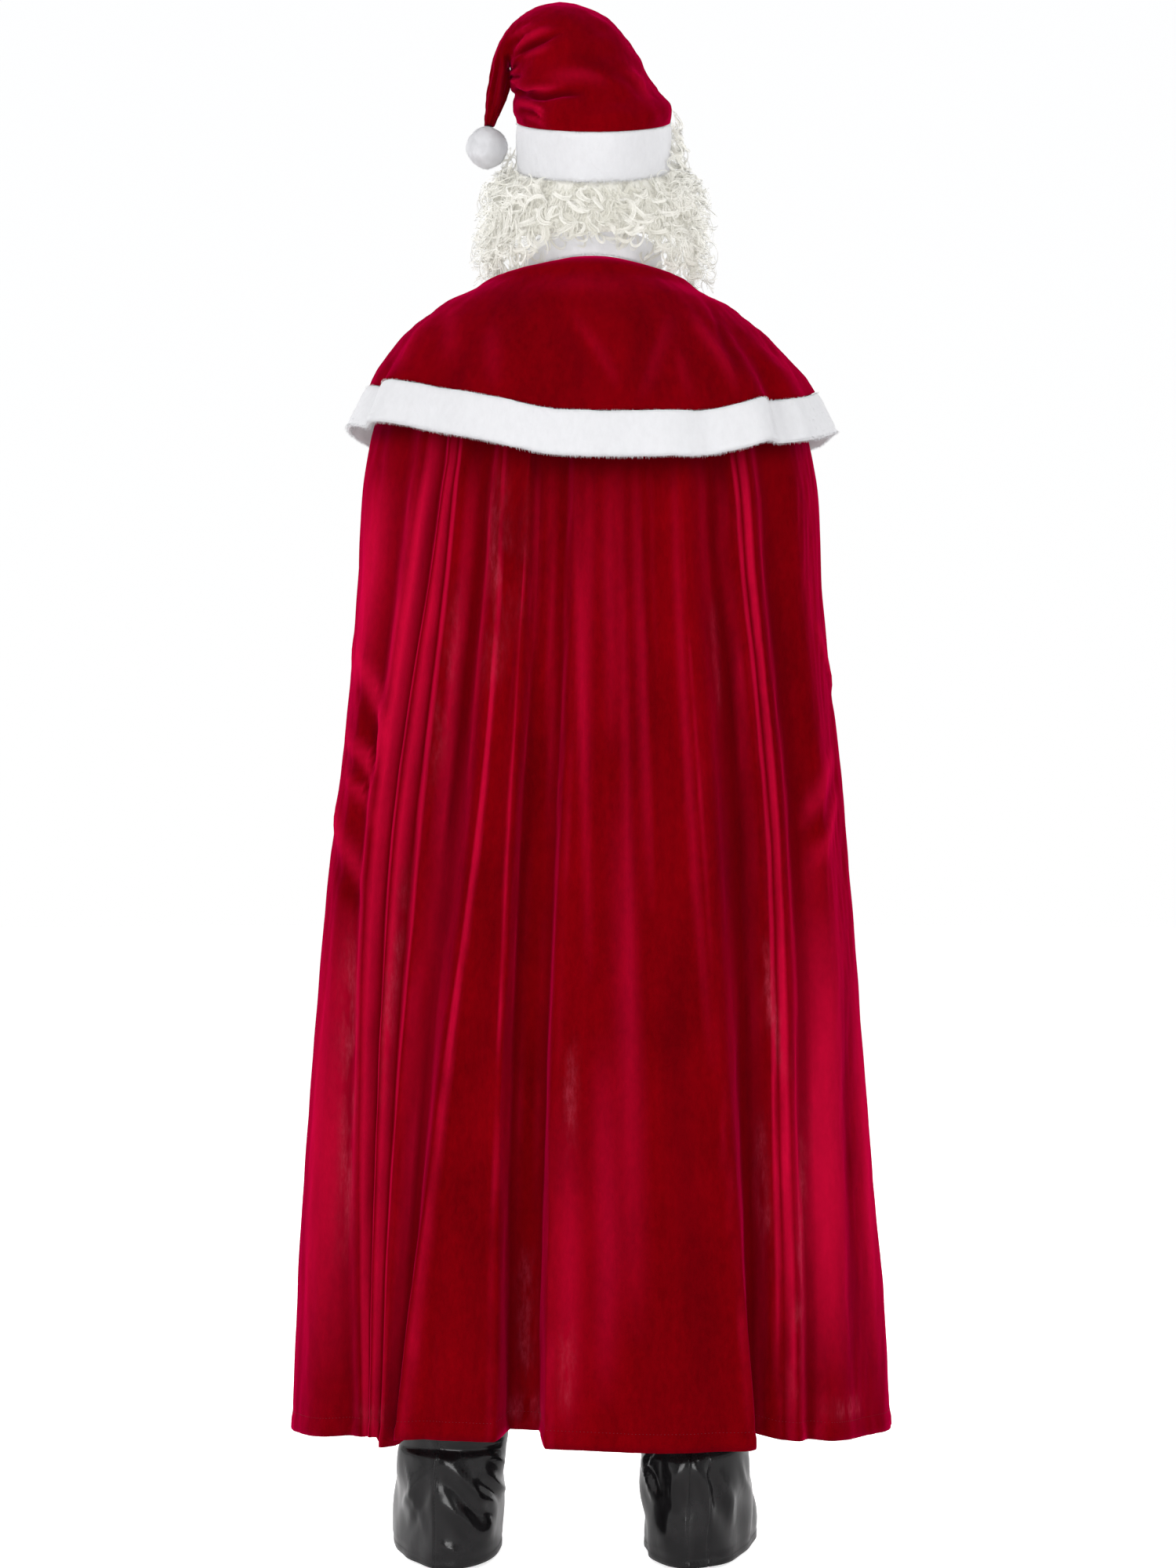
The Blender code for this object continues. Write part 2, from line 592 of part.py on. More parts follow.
def make_hat_band():
    stations = []
    middle_width = BAND_HALF_WIDTH - BAND_PILE / 2
    middle_depth = BAND_HALF_DEPTH - BAND_PILE / 2
    for step in range(CROWN_COLUMNS):
        angle = 360 * step / CROWN_COLUMNS - 180
        foot, outward = section_point(angle, (middle_width,) * 2, (middle_depth,) * 2)
        stations.append([head_point(foot.x + outward.x * out, foot.y + outward.y * out,
                                    BAND_HEIGHT - fall)
                         for out, fall in pile_section(BAND_PILE, BAND_HEIGHT)])
    return band("hat_band", stations, "plush", closed=True)


def crown_ring(row):
    """Points of one ring of the hat's crown, from the left over the back."""
    x, y, height, half_width, half_depth, lean, tilt, tuck = row
    turn = (Matrix.Rotation(math.radians(lean), 3, "Y")
            @ Matrix.Rotation(-math.radians(tilt), 3, "X"))
    ring = []
    for step in range(CROWN_COLUMNS):
        angle = 360 * step / CROWN_COLUMNS
        swing = math.radians(angle)
        facing = max(0.0, math.cos(swing - math.radians(TUCK_ANGLE)))
        reach = 1 - tuck / half_depth * facing ** 3
        flat = Vector((half_width * math.sin(swing), half_depth * math.cos(swing), 0))
        ring.append(place(x, y, height) + turn @ (flat * reach))
    return ring


def make_hat_crown():
    """The velvet bag: up from the band, over to the left and down into the tail."""
    rows = [crown_ring(row) for row in reversed(CROWN_RINGS)]
    return cloth("hat_crown", rows, "velvet", VELVET, closed=True)


def make_hat_bobble():
    x, y, height = CROWN_RINGS[-1][:3]
    lean = math.radians(CROWN_RINGS[-1][5])
    reach = BOBBLE_RADIUS + SEAM
    middle = place(x + math.sin(lean) * reach, y, height + math.cos(lean) * reach)
    bpy.ops.mesh.primitive_uv_sphere_add(segments=18, ring_count=11, radius=BOBBLE_RADIUS,
                                         location=middle)
    bobble = bpy.context.object
    bobble.name = "hat_bobble"
    bobble.data.materials.append(finish_of("plush"))
    bobble.data.shade_smooth()
    for holder in list(bobble.users_collection):
        holder.objects.unlink(bobble)
    bpy.data.collections[COLLECTION].objects.link(bobble)
    return bobble


def wig_row(row, last):
    up, half_width, half_depth, tilt, _, curl = row
    points = []
    for step in range(WIG_COLUMNS):
        angle = 360 * step / WIG_COLUMNS - 180
        out = curl * math.cos(math.radians(angle) * WIG_CURLS)
        flat, _ = section_point(angle, (half_width,) * 2, (half_depth,) * 2, out)
        point = head_point(flat.x, flat.y, up, tilt)
        if last:
            hem = smooth_value(column(WIG_HEM, 0), column(WIG_HEM, 1), abs(angle))
            point.z = hem - NECK_HEIGHT
        points.append(point)
    return points


def make_wig():
    """A cap under the hat that opens into a thick fall of curls round the face."""
    rows = [wig_row(row, row is WIG_ROWS[-1]) for row in WIG_ROWS]
    walls = column(WIG_ROWS, 4)

    def at_face(r, c):
        middle = 360 * (c + 0.5) / WIG_COLUMNS - 180
        return r >= FACE_ROW and abs(middle) > 180 - FACE_OPENING

    return cloth("wig", rows, "curls", max(walls), closed=True, missing=at_face,
                 walls=walls, cap=True)


# ---------------------------------------------------------------------------------------
# Jacket
# ---------------------------------------------------------------------------------------
def jacket_point(row, angle, out=0.0):
    height, half_width, half_depth, drop = JACKET_SECTIONS[row]
    point, outward = section_point(angle, (half_width,) * 2, (half_depth,) * 2, out)
    return place(point.x, point.y, height - drop * front_share(angle)), outward


def panel_row(row, angles):
    """One row of a panel, drawn in a hair at both of its seams."""
    points = [jacket_point(row, angle)[0] for angle in angles]
    for end, inward in ((0, 1), (-1, -1)):
        _, outward = jacket_point(row, angles[end])
        points[end] += Vector((outward.y, -outward.x, 0)) * PANEL_SEAM * inward
    return points


def make_jacket_panel(name, first, last):
    """One panel of the jacket between two seams, with its share of the armholes."""
    count = int(round((last - first) / PANEL_STEP)) + 1
    angles = list(np.linspace(first, last, count))
    rows = [panel_row(row, angles) for row in range(len(JACKET_SECTIONS))]

    def armhole(r, c):
        middle = (angles[c] + angles[c + 1]) / 2
        beside = abs(abs(middle) - 90) < PANEL_STEP * ARMHOLE_STEPS
        return beside and ARMHOLE_TOP_ROW <= r < ARMHOLE_FOOT_ROW

    return cloth(name, rows, "velvet", JACKET_CLOTH, missing=armhole)


def armhole_loop(side):
    """The armhole's edge, from its top round the front, foot and back, just outside."""
    reach = PANEL_STEP * ARMHOLE_STEPS
    steps = np.linspace(-reach, reach, 2 * ARMHOLE_STEPS + 1)
    rows = range(ARMHOLE_TOP_ROW, ARMHOLE_FOOT_ROW + 1)
    loop = [(ARMHOLE_TOP_ROW, 90 + step) for step in steps[ARMHOLE_STEPS:]]
    loop += [(row, 90 + reach) for row in list(rows)[1:]]
    loop += [(ARMHOLE_FOOT_ROW, 90 - step) for step in steps[1:]]
    loop += [(row, 90 - reach) for row in list(reversed(rows))[1:]]
    loop += [(ARMHOLE_TOP_ROW, 90 + step) for step in steps[1:ARMHOLE_STEPS]]
    return [jacket_point(row, side * angle)[0] + Vector((side * (SEAM + LAYER), 0, 0))
            for row, angle in loop]


def sleeve_ring(row, side, count):
    x, y, height, half_height, half_depth, turned = row
    turn = math.radians(turned)
    upper = Vector((math.sin(turn), 0, math.cos(turn)))
    ring = []
    for step in range(count):
        swing = 2 * math.pi * step / count
        flat = upper * half_height * math.cos(swing)
        point = place(x, y, height) + flat
        point.y -= half_depth * math.sin(swing)
        ring.append(Vector((side * point.x, point.y, point.z)))
    return ring


def make_sleeve(name, side):
    """From the armhole over the shoulder and down the arm."""
    loop = armhole_loop(side)
    rows = [loop] + [sleeve_ring(row, side, len(loop)) for row in SLEEVE_RINGS]
    if side > 0:
        rows = [list(reversed(row)) for row in rows]
    return cloth(name, rows, "velvet", JACKET_CLOTH, closed=True)


def make_cuff(name, side):
    """Plush cuff below the sleeve's end, square to the arm."""
    x, y, height, _, _, turned = SLEEVE_RINGS[-1]
    before = SLEEVE_RINGS[-2]
    along = Vector((x - before[0], y - before[1], height - before[2])).normalized()
    lean = math.radians(turned - 90)
    end = place(x, y, height)
    depth_ratio = SLEEVE_RINGS[-1][4] / SLEEVE_RINGS[-1][3]
    middle = CUFF_HALF_WIDTH - CUFF_PILE / 2
    stations = []
    for step in range(CUFF_COLUMNS):
        angle = 360 * step / CUFF_COLUMNS - 180
        flat, outward = section_point(angle, (middle,) * 2, (middle * depth_ratio,) * 2)
        ring = []
        for out, fall in pile_section(CUFF_PILE, CUFF_HEIGHT):
            wide = flat.x + outward.x * out
            deep = flat.y + outward.y * out
            point = end + Vector((wide * math.cos(lean), deep, -wide * math.sin(lean)))
            point += along * (fall + SEAM + LAYER)
            ring.append(Vector((side * point.x, point.y, point.z)))
        stations.append(ring)
    return band(name, stations, "plush", closed=True)


def jacket_ring_stations(foot_row, offset, section):
    """Stations round the whole jacket at a row, for a band that hangs there."""
    stations = []
    for step in range(int(360 / PANEL_STEP)):
        angle = PANEL_STEP * step - 180
        edge, outward = jacket_point(foot_row, angle)
        edge = edge - outward * offset
        stations.append([edge + outward * out - Vector((0, 0, LAYER + fall))
                         for out, fall in section])
    return stations


def make_jacket_hem_trim():
    section = pile_section(CUFF_PILE, HEM_TRIM_HEIGHT)
    stations = jacket_ring_stations(len(JACKET_SECTIONS) - 1, JACKET_CLOTH / 2, section)
    return band("jacket_hem_trim", stations, "plush", closed=True)


def front_chord(row, x):
    """Depth of the jacket's outer face at a distance x from the middle of the front."""
    _, half_width, half_depth, _ = JACKET_SECTIONS[row]
    step = math.radians(PANEL_STEP)
    corner_x = half_width * math.sin(step)
    slope = half_depth * (1 - math.cos(step)) / corner_x
    return -half_depth + abs(x) * slope


def make_jacket_front_trim():
    """Plush band down the closed front, over the edges of both front panels."""
    half = FRONT_TRIM_HALF_WIDTH
    stations = []
    for row in range(FRONT_TRIM_TOP_ROW, len(JACKET_SECTIONS)):
        height, _, _, drop = JACKET_SECTIONS[row]
        slopes = [(x, front_chord(row, x) - 1.5 * LAYER) for x in (-half, 0.0, half)]
        inner = [place(x, y, height - drop) for x, y in slopes]
        outer = [place(x * FRONT_TRIM_CROWN, y - FRONT_PILE, height - drop) for x, y in reversed(slopes)]
        stations.append(inner + outer)
    return band("jacket_front_trim", stations, "plush")


def make_belt():
    """A strap round the waist that rides over the front band."""
    row = next(k for k, section in enumerate(JACKET_SECTIONS) if section[0] < BELT_TOP) - 1
    stations = []
    for step in range(int(360 / PANEL_STEP)):
        angle = PANEL_STEP * step - 180
        over_band = abs(abs(angle) - 180) < PANEL_STEP * 1.5
        lift = LAYER + (BELT_BUMP if over_band else 0.0)
        inner, outward = jacket_point(row, angle, lift)
        outer = inner + outward * BELT_THICKNESS
        ring = []
        for point, height in ((inner, BELT_TOP), (inner, BELT_FOOT),
                              (outer, BELT_FOOT), (outer, BELT_TOP)):
            ring.append(place(point.x, point.y, height))
        stations.append(ring)
    return band("belt", stations, "patent", closed=True)


def make_belt_buckle():
    """A plain frame lying on the front of the belt."""
    curve = bpy.data.curves.new("belt_buckle", "CURVE")
    curve.dimensions = "2D"
    curve.fill_mode = "BOTH"
    curve.extrude = BUCKLE_THICKNESS / 2
    for inset in (0.0, BUCKLE_RAIL):
        wide = BUCKLE_HALF_WIDTH - inset
        high = BUCKLE_HALF_HEIGHT - inset
        cut = BUCKLE_CORNER - inset * BUCKLE_CORNER_SHARE
        corners = ((wide, high - cut), (wide - cut, high), (cut - wide, high),
                   (-wide, high - cut), (-wide, cut - high), (cut - wide, -high),
                   (wide - cut, -high), (wide, cut - high))
        spline = curve.splines.new("POLY")
        spline.points.add(len(corners) - 1)
        for point, corner in zip(spline.points, corners):
            point.co = (*corner, 0, 1)
        spline.use_cyclic_u = True
    row = next(k for k, section in enumerate(JACKET_SECTIONS) if section[0] < BELT_TOP)
    front = JACKET_SECTIONS[row][2] + LAYER + BELT_BUMP + BELT_THICKNESS
    buckle = add_object("belt_buckle", curve, "buckle_metal")
    buckle.location = place(0, -(front + LAYER + BUCKLE_THICKNESS / 2),
                            (BELT_TOP + BELT_FOOT) / 2)
    buckle.rotation_euler = (math.radians(90), 0, 0)
    return buckle


# ---------------------------------------------------------------------------------------
# Trousers and boot covers
# ---------------------------------------------------------------------------------------
def leg_centre(side_name, height):
    """Distance of a leg's middle from the body's middle plane."""
    share = (HIP_HEIGHT - height) / (HIP_HEIGHT - ANKLE_HEIGHT)
    return HIP_CENTRE + (ANKLE_CENTRE[side_name] - HIP_CENTRE) * max(share, 0.0)


def hip_row(section, side):
    """Half of the seat, then the way back along the middle plane."""
    height, half_width, half_depth = section
    points = []
    for step in range(OUTER_STEPS):
        swing = math.radians(180 * step / (OUTER_STEPS - 1))
        x = max(half_width * math.sin(swing), RISE_GAP)
        points.append(place(side * x, half_depth * math.cos(swing), height))
    for step in range(1, INNER_STEPS + 1):
        share = step / (INNER_STEPS + 1)
        y = half_depth * (2 * share - 1)
        dip = RISE_DIP * math.sin(math.pi * share)
        points.append(place(side * RISE_GAP, y * RISE_DEPTH, height - dip))
    return points


def leg_row(section, side_name, side):
    """A leg's oval, with the same columns as the seat above it."""
    height, half_width, half_depth = section
    middle = leg_centre(side_name, height)
    points = []
    outer = [180 * step / (OUTER_STEPS - 1) for step in range(OUTER_STEPS)]
    inner = [180 + 180 * step / (INNER_STEPS + 1) for step in range(1, INNER_STEPS + 1)]
    for angle in outer + inner:
        swing = math.radians(angle)
        x = max(middle + half_width * math.sin(swing), RISE_GAP * 4)
        points.append(place(side * x, half_depth * math.cos(swing), height))
    return points


def make_trouser_half(name, side_name):
    """One leg with its half of the seat, joined to the other at the middle seam."""
    side = SIDES[side_name]
    rows = [hip_row(section, side) for section in HIP_SECTIONS]
    rows += [leg_row(section, side_name, side) for section in LEG_SECTIONS]
    crotch = len(HIP_SECTIONS) - 1
    count = len(rows[0])
    if side < 0:
        rows = [list(reversed(row)) for row in rows]

    def above_crotch(r, c):
        place_in_row = c if side > 0 else count - 2 - c
        return r < crotch and place_in_row % count >= OUTER_STEPS - 1

    return cloth(name, rows, "velvet", JACKET_CLOTH, closed=True, missing=above_crotch)


def make_boot(name, side_name):
    """Shaft and foot of a boot cover, open at the top and under the shoe."""
    side = SIDES[side_name]
    rows = []
    for height, half_width, half_depth, middle in BOOT_SECTIONS:
        share = smoothstep((0.30 - height) / 0.25)
        turn = Matrix.Rotation(math.radians(BOOT_TURN[side_name]) * share, 3, "Z")
        centre = side * leg_centre(side_name, max(height, ANKLE_HEIGHT))
        row = []
        for step in range(BOOT_COLUMNS):
            angle = 360 * step / BOOT_COLUMNS - 180
            flat, _ = section_point(angle, (half_width,) * 2, (half_depth,) * 2)
            flat = turn @ Vector((flat.x, flat.y + middle, 0))
            row.append(place(centre + flat.x, flat.y, height))
        rows.append(row)
    return cloth(name, rows, "patent", BOOT_CLOTH, closed=True)


# ---------------------------------------------------------------------------------------
def main():
    for leftover in list(bpy.data.objects):
        bpy.data.objects.remove(leftover, do_unlink=True)
    collection = bpy.data.collections.new(COLLECTION)
    bpy.context.scene.collection.children.link(collection)

    make_hat_crown()
    make_hat_band()
    make_hat_bobble()
    make_wig()
    make_collar()
    make_capelet()
    make_capelet_trim()
    make_cloak()
    make_jacket_panel("jacket_back", -90.0, 90.0)
    make_jacket_panel("jacket_front_left", 90.0, 180.0)
    make_jacket_panel("jacket_front_right", -180.0, -90.0)
    make_jacket_front_trim()
    make_jacket_hem_trim()
    for side_name, side in SIDES.items():
        make_sleeve("sleeve_" + side_name, side)
        make_cuff("cuff_" + side_name, side)
        make_trouser_half("trousers_" + side_name, side_name)
        make_boot("boot_" + side_name, side_name)
    make_belt()
    make_belt_buckle()


main()
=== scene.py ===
"""Dresses the santa suit with its velvet, plush, curls and faux leather.

The file is laid out as an add-on, with one operator for each piece or group of like
pieces and one for the studio, and is run as a script over the suit's fixed frame.
Lengths are metres. Heights in the tables are above the floor that the wearer stands on,
and the origin is the middle of the neck opening. Angles go round the body from the middle
of the back (0) over the left side (+90) or the right side (-90) to the front (180).
"""

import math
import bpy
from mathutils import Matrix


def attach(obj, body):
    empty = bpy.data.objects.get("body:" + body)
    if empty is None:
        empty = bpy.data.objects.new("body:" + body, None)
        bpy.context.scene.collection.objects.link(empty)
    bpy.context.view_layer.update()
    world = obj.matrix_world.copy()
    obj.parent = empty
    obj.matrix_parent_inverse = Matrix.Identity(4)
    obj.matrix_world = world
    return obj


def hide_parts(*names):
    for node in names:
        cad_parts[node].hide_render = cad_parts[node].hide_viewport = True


bl_info = {
    "name": "Santa Suit Dressing",
    "version": (1, 0, 0),
    "blender": (4, 5, 0),
    "location": "View3D > Sidebar > Santa Suit",
    "description": "Builds the velvet, plush, curls and boot covers of a santa suit",
    "category": "Object",
}

import bmesh
import bpy
import numpy as np
from bpy.props import FloatProperty, FloatVectorProperty, IntProperty, PointerProperty
from mathutils import Matrix, Vector, kdtree

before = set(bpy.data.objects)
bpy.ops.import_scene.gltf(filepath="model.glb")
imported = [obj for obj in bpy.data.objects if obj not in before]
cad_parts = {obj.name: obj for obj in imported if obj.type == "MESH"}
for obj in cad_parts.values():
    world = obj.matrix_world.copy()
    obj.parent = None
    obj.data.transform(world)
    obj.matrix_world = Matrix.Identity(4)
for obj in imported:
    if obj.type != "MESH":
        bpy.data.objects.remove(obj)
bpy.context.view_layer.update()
BODY = "root"
NECK_HEIGHT = 1.5            # height of the origin above the floor
DOWN = np.array((0.0, 0.0, -1.0))
MM = 0.001
BLACK_THREAD = (0.03, 0.03, 0.03)
RED_THREAD = (0.16, 0.002, 0.012)
SIDES = {"left": 1.0, "right": -1.0}


# ---- Cloak: sections, fold lines and hem ----
CLOAK_SECTIONS = (
    # height, left half-width, right half-width, back depth, front depth, drop of the front
    (1.531, 0.0775, 0.0775, 0.0735, 0.0735, 0.045),
    (1.505, 0.122, 0.102, 0.095, 0.09, 0.032),
    (1.47, 0.185, 0.166, 0.116, 0.109, 0.018),
    (1.42, 0.229, 0.22, 0.131, 0.123, 0.006),
    (1.36, 0.253, 0.249, 0.141, 0.133, 0),
    (1.288, 0.269, 0.266, 0.15, 0.14, 0),
    (1.15, 0.279, 0.275, 0.157, 0.146, 0),
    (0.99, 0.293, 0.291, 0.165, 0.152, 0),
    (0.82, 0.313, 0.307, 0.173, 0.158, 0),
    (0.65, 0.33, 0.321, 0.181, 0.164, 0),
    (0.48, 0.343, 0.332, 0.19, 0.171, 0),
    (0.32, 0.353, 0.346, 0.199, 0.178, 0),
    (0.155, 0.36, 0.355, 0.208, 0.185, 0),
)
FALL_TOP = 1.288             # the cloth falls straight below this height

CLOAK_FOLDS = (
    # Each row is one fold line: its angle at the shoulder, hip, knee and hem, then how far
    # it stands out of the section (mm) at the shoulder, hip and hem.
    (148, 147, 146, 145, 0, 0, 0),
    (137, 134, 133, 132, 4, 7, 12),
    (124, 122, 121, 120, -4, -7, -12),
    (108, 108, 107, 106, 3, 4, 10),
    (90, 91, 91, 91, 1, 0, -3),
    (78, 78, 76, 74, 0, 1, 3),
    (66, 68.5, 66, 59, 1, 3, 9),
    (54, 60.5, 57.5, 51.5, -2, -4, -6),
    (45.7, 54.5, 51.6, 47, 8, 8, 2),
    (40.6, 49.8, 48.4, 45.6, -6, -8, -5),
    (37.8, 46, 45.4, 44.2, 6, 9, 6),
    (35.8, 42, 43, 42.9, -1, -6, -2),
    (33.5, 37.8, 40.4, 41.4, 7, 9, 9),
    (26.6, 31.2, 34.8, 38.4, -8, -12, -16),
    (22.4, 24.4, 30.7, 37.2, 5, 10, 14),
    (20.2, 22.2, 27.4, 31.6, 1, 4, 4),
    (18.2, 20, 24, 26.8, 2, 5, 9),
    (15.1, 17, 17.6, 17.4, 7, 10, 14),
    (12.2, 14.4, 15.8, 15.6, -5, -11, -24),
    (6.2, 8.2, 9.4, 10, -5, -10, -22),
    (3.4, 5.6, 7.6, 8.2, 7, 10, 15),
    (-4.5, -3, -2, -1, 3, 6, 8),
    (-12.8, -11.1, -10.6, -9.9, 0, 2, 5),
    (-17.5, -18, -19, -21, 3, 6, 9),
    (-22, -24.3, -26.7, -30.2, 8, 13, 18),
    (-31, -34.5, -33.6, -32, -11, -17, -25),
    (-36, -39.6, -38.2, -36.2, 7, 10, -4),
    (-38.6, -42.2, -40.6, -38.6, 3, 4, -3),
    (-41.2, -44.6, -43, -41.2, 9, 9, 6),
    (-47.5, -51, -48.5, -45.2, -5, -8, -8),
    (-60, -61, -57, -50, 3, 6, 9),
    (-74, -74, -71, -66, -1, -3, -5),
    (-89, -89, -88, -86, 1, 0, 2),
    (-107, -107, -106, -105, 3, 4, 9),
    (-124, -122, -121, -120, -4, -7, -12),
    (-137, -134, -133, -132, 4, 7, 12),
    (-148, -147, -146, -145, 0, 0, 0),
)
FOLD_HEIGHTS = (1.288, 0.913, 0.538, 0.163)
DEPTH_HEIGHTS = (1.288, 0.913, 0.163)
FOLD_FADE = (1.5, 1.38)   # folds grow from nothing to full depth between these
CLOAK_HEM = (
    # angle, height of the hem
    (-148, 0.15), (-90, 0.15), (-60, 0.158), (-38, 0.168), (-32, 0.176),
    (-30, 0.164), (-12, 0.163), (8.2, 0.171), (10, 0.184), (15.6, 0.184),
    (17.4, 0.177), (37.2, 0.172), (39.2, 0.16), (42.6, 0.16), (43.4, 0.17),
    (62, 0.16), (90, 0.15), (148, 0.15),
)
CLOAK_COLUMN = 0.0062        # width of a column of the cloak's fine surface
CLOAK_HEIGHTS = np.linspace(CLOAK_SECTIONS[0][0], CLOAK_SECTIONS[-1][0], 132)
HEM_FOLD = 0.017             # depth of the turned-up hem
HEM_DENT = 0.0009            # its stitches sink in by this
HEM_STITCH = (0.0042, 0.0027)    # spacing and length
HEM_EASE = 0.002             # the turned cloth ends this far above the stitches
PUCKER_TOP = 0.035           # the cloth puckers up to this far above the hem
CLOAK_SMOOTH_TOP = 1.46      # the cloth lies smooth from here to the neck
CREASE_PAINT_DEPTH = 0.006           # a crease this high or deep gets full painted sheen on top or full painted shade in its trough
BAND_SHADE = (0.75, 0.016)   # painted shadow under the capelet's band, its strength and reach
HEM_LIFT = 0.0009            # its double cloth stands out by this

CLOAK_CREASES = (
    # width, rise (mm, negative is a trough), then angle, height (mm) of each point
    (11, 4, 79.7, 1083, 65.7, 1048, 54.5, 986, 55.2, 924),
    (9, -3, 86, 1060, 68, 1015, 57.5, 955, 56.5, 900),
    (10, 3.5, 86.1, 986, 63.3, 952, 54.5, 889),
    (8, -2.6, 83, 962, 62, 922, 55.5, 868),
    (9, 3, 76.9, 938, 58.8, 896, 53.6, 862),
    (9, 2.4, 97.1, 1103, 76.9, 1041, 63, 986),
    (12, 3, 91, 903, 67.4, 841, 55.2, 793),
    (10, -2.2, 88, 870, 69, 815, 58, 765),
    (11, 3.2, -70.1, 1110, -80.4, 1060, -93.6, 1021),
    (9, -2.6, -72.1, 1085, -84.4, 1035, -98.6, 995),
    (10, 3.2, -79, 958, -64.3, 924, -55.9, 876),
    (8, -2.4, -83, 935, -66.3, 893, -57.9, 850),
    (10, 2.8, -79.9, 910, -62.3, 855, -56.8, 820),
    (8, 1.5, 0.5, 1300, 1, 1179, 1.7, 1048, 1.3, 910),
    (5, 1.7, 4.2, 1310, 3, 1100, 1.5, 900, 0.5, 700),
    (5, 1.5, -6.5, 1310, -7.2, 1050, -7.5, 850, -8, 600),
    (5, 1.7, -20, 1310, -20.9, 1000, -22, 800, -24, 600),
    (4, 1.3, -14, 1300, -14.5, 1100, -15, 950),
    (4, 1.5, 9.5, 1310, 9.8, 1150, 9.5, 1000, 9, 850),
    (4, 1.4, -27, 1310, -29, 1150, -31, 1000),
    (4, 1.5, 13, 1310, 13.5, 1200, 14, 1050),
    (5, 1.6, 24.5, 1310, 25.5, 1150, 28, 1000, 31, 800),
    (4, 1.4, 30, 1310, 32, 1150, 34.5, 980),
    (8, 1.5, -4.5, 1300, -4, 1179, -4.5, 1048, -4.2, 958),
    (7, 1.8, -10.7, 1300, -11.2, 1179, -11.6, 1048, -12, 910, -12.7, 779),
    (6, -1.8, -12.8, 1300, -13.6, 1179, -13.9, 1048, -14.5, 910, -14.6, 779),
    (16, 2, 5.1, 558, 4.3, 427, 4.5, 296, 4.7, 179),
    (18, -2.2, -14.7, 748, -18.2, 469, -20, 337, -21.9, 206),
    (14, 1.8, -6, 900, -7.5, 600, -8, 300),
    (12, 1.8, 72, 700, 71, 500, 68, 250),
    (14, -2, 83, 760, 81, 500, 79, 200),
    (12, 2, -80, 780, -78, 500, -73, 200),
    (14, -2.2, -67, 700, -64, 450, -58, 200),
    (12, 2.4, 113, 1080, 101, 1030, 92, 960),
    (10, -2.2, 116, 1040, 104, 990, 96, 930),
    (12, 2.4, -112, 1060, -103, 1000, -95, 930),
    (10, -2.2, -116, 1020, -106, 960, -99, 900),
    (12, 2.2, 128, 1250, 129, 1000, 127, 700, 126, 400),
    (12, 2.2, -130, 1250, -129, 950, -127, 650, -126, 350),
)
CLOAK_SHEEN_ZONES = (
    # width (mm), strength, then angle, height (mm) along a zone of painted sheen
    (30, 0.75, 66, 1290, 72, 1150, 74, 1020),
    (16, 0.5, 45, 1290, 52, 1050, 52.5, 900),
    (42, 0.6, 66, 800, 64, 600, 62, 400, 62, 210),
    (34, 0.1, 85, 760, 84, 500, 83, 220),
    (40, 0.8, -58, 790, -56, 600, -52, 400, -52, 220),
    (30, 0.4, -80, 700, -78, 450, -74, 220),
    (14, 0.35, -2, 620, -3, 380, -2, 230),
    (12, 0.35, 30, 1000, 33, 700, 36, 400),
    (36, 0.45, 110, 1000, 108, 650, 107, 300),
    (36, 0.45, -110, 1000, -108, 650, -107, 300),
)
CLOAK_WEAR = (
    # width (mm), strength, then angle, height (mm) along a band of thin pile
    (13, 0.55, 23.5, 1280, 22.5, 1150, 23, 1020),
    (8, 0.4, 33, 1150, 35, 1020, 37, 900),
    (5, 0.45, -30.4, 1130, -30.8, 1040, -31.2, 990),
    (6, 0.25, 15.5, 1270, 16, 1180, 17, 1080),
    (13, 0.9, 60.1, 765, 60.4, 689, 57.7, 551, 55.5, 441, 55.8, 358),
    (6, 0.8, 43.6, 827, 44.2, 751, 44.8, 641, 44.5, 551),
    (6, 0.7, 3.9, 629, 4.1, 489),
    (8, 0.9, -38.1, 738, -39.5, 662, -42.7, 586),
    (7, 0.9, -36.4, 537, -36, 434, -36.2, 358),
    (9, 0.8, -49.4, 537, -44, 372, -40.7, 199),
    (9, 0.55, 12.8, 400, 12.8, 240),
    (12, 1, 16, 206, 9, 211),
    (9, 0.9, 49.1, 196, 40.5, 199),
    (9, 0.8, -48.1, 200, -66.8, 188),
    (7, 0.7, 4.5, 317, 4.7, 206),
    (12, 0.6, 104, 600, 103, 350),
    (12, 0.6, -104, 620, -103, 330),
)


# ---- Capelet and collar ----
CAPELET_SECTIONS = (
    # height, left half-width, right half-width, back depth, front depth
    (1.536, 0.08, 0.08, 0.076, 0.076),
    (1.529, 0.12, 0.11, 0.093, 0.087),
    (1.513, 0.151, 0.134, 0.104, 0.098),
    (1.494, 0.183, 0.166, 0.118, 0.111),
    (1.475, 0.206, 0.187, 0.129, 0.12),
    (1.457, 0.225, 0.207, 0.138, 0.128),
    (1.438, 0.239, 0.223, 0.146, 0.135),
    (1.419, 0.251, 0.24, 0.153, 0.14),
    (1.4, 0.262, 0.256, 0.159, 0.145),
    (1.382, 0.27, 0.267, 0.165, 0.149),
    (1.363, 0.278, 0.275, 0.171, 0.153),
    (1.344, 0.284, 0.282, 0.177, 0.156),
)
CAPELET_DROP = 0.045         # fall of the neck edge towards the front
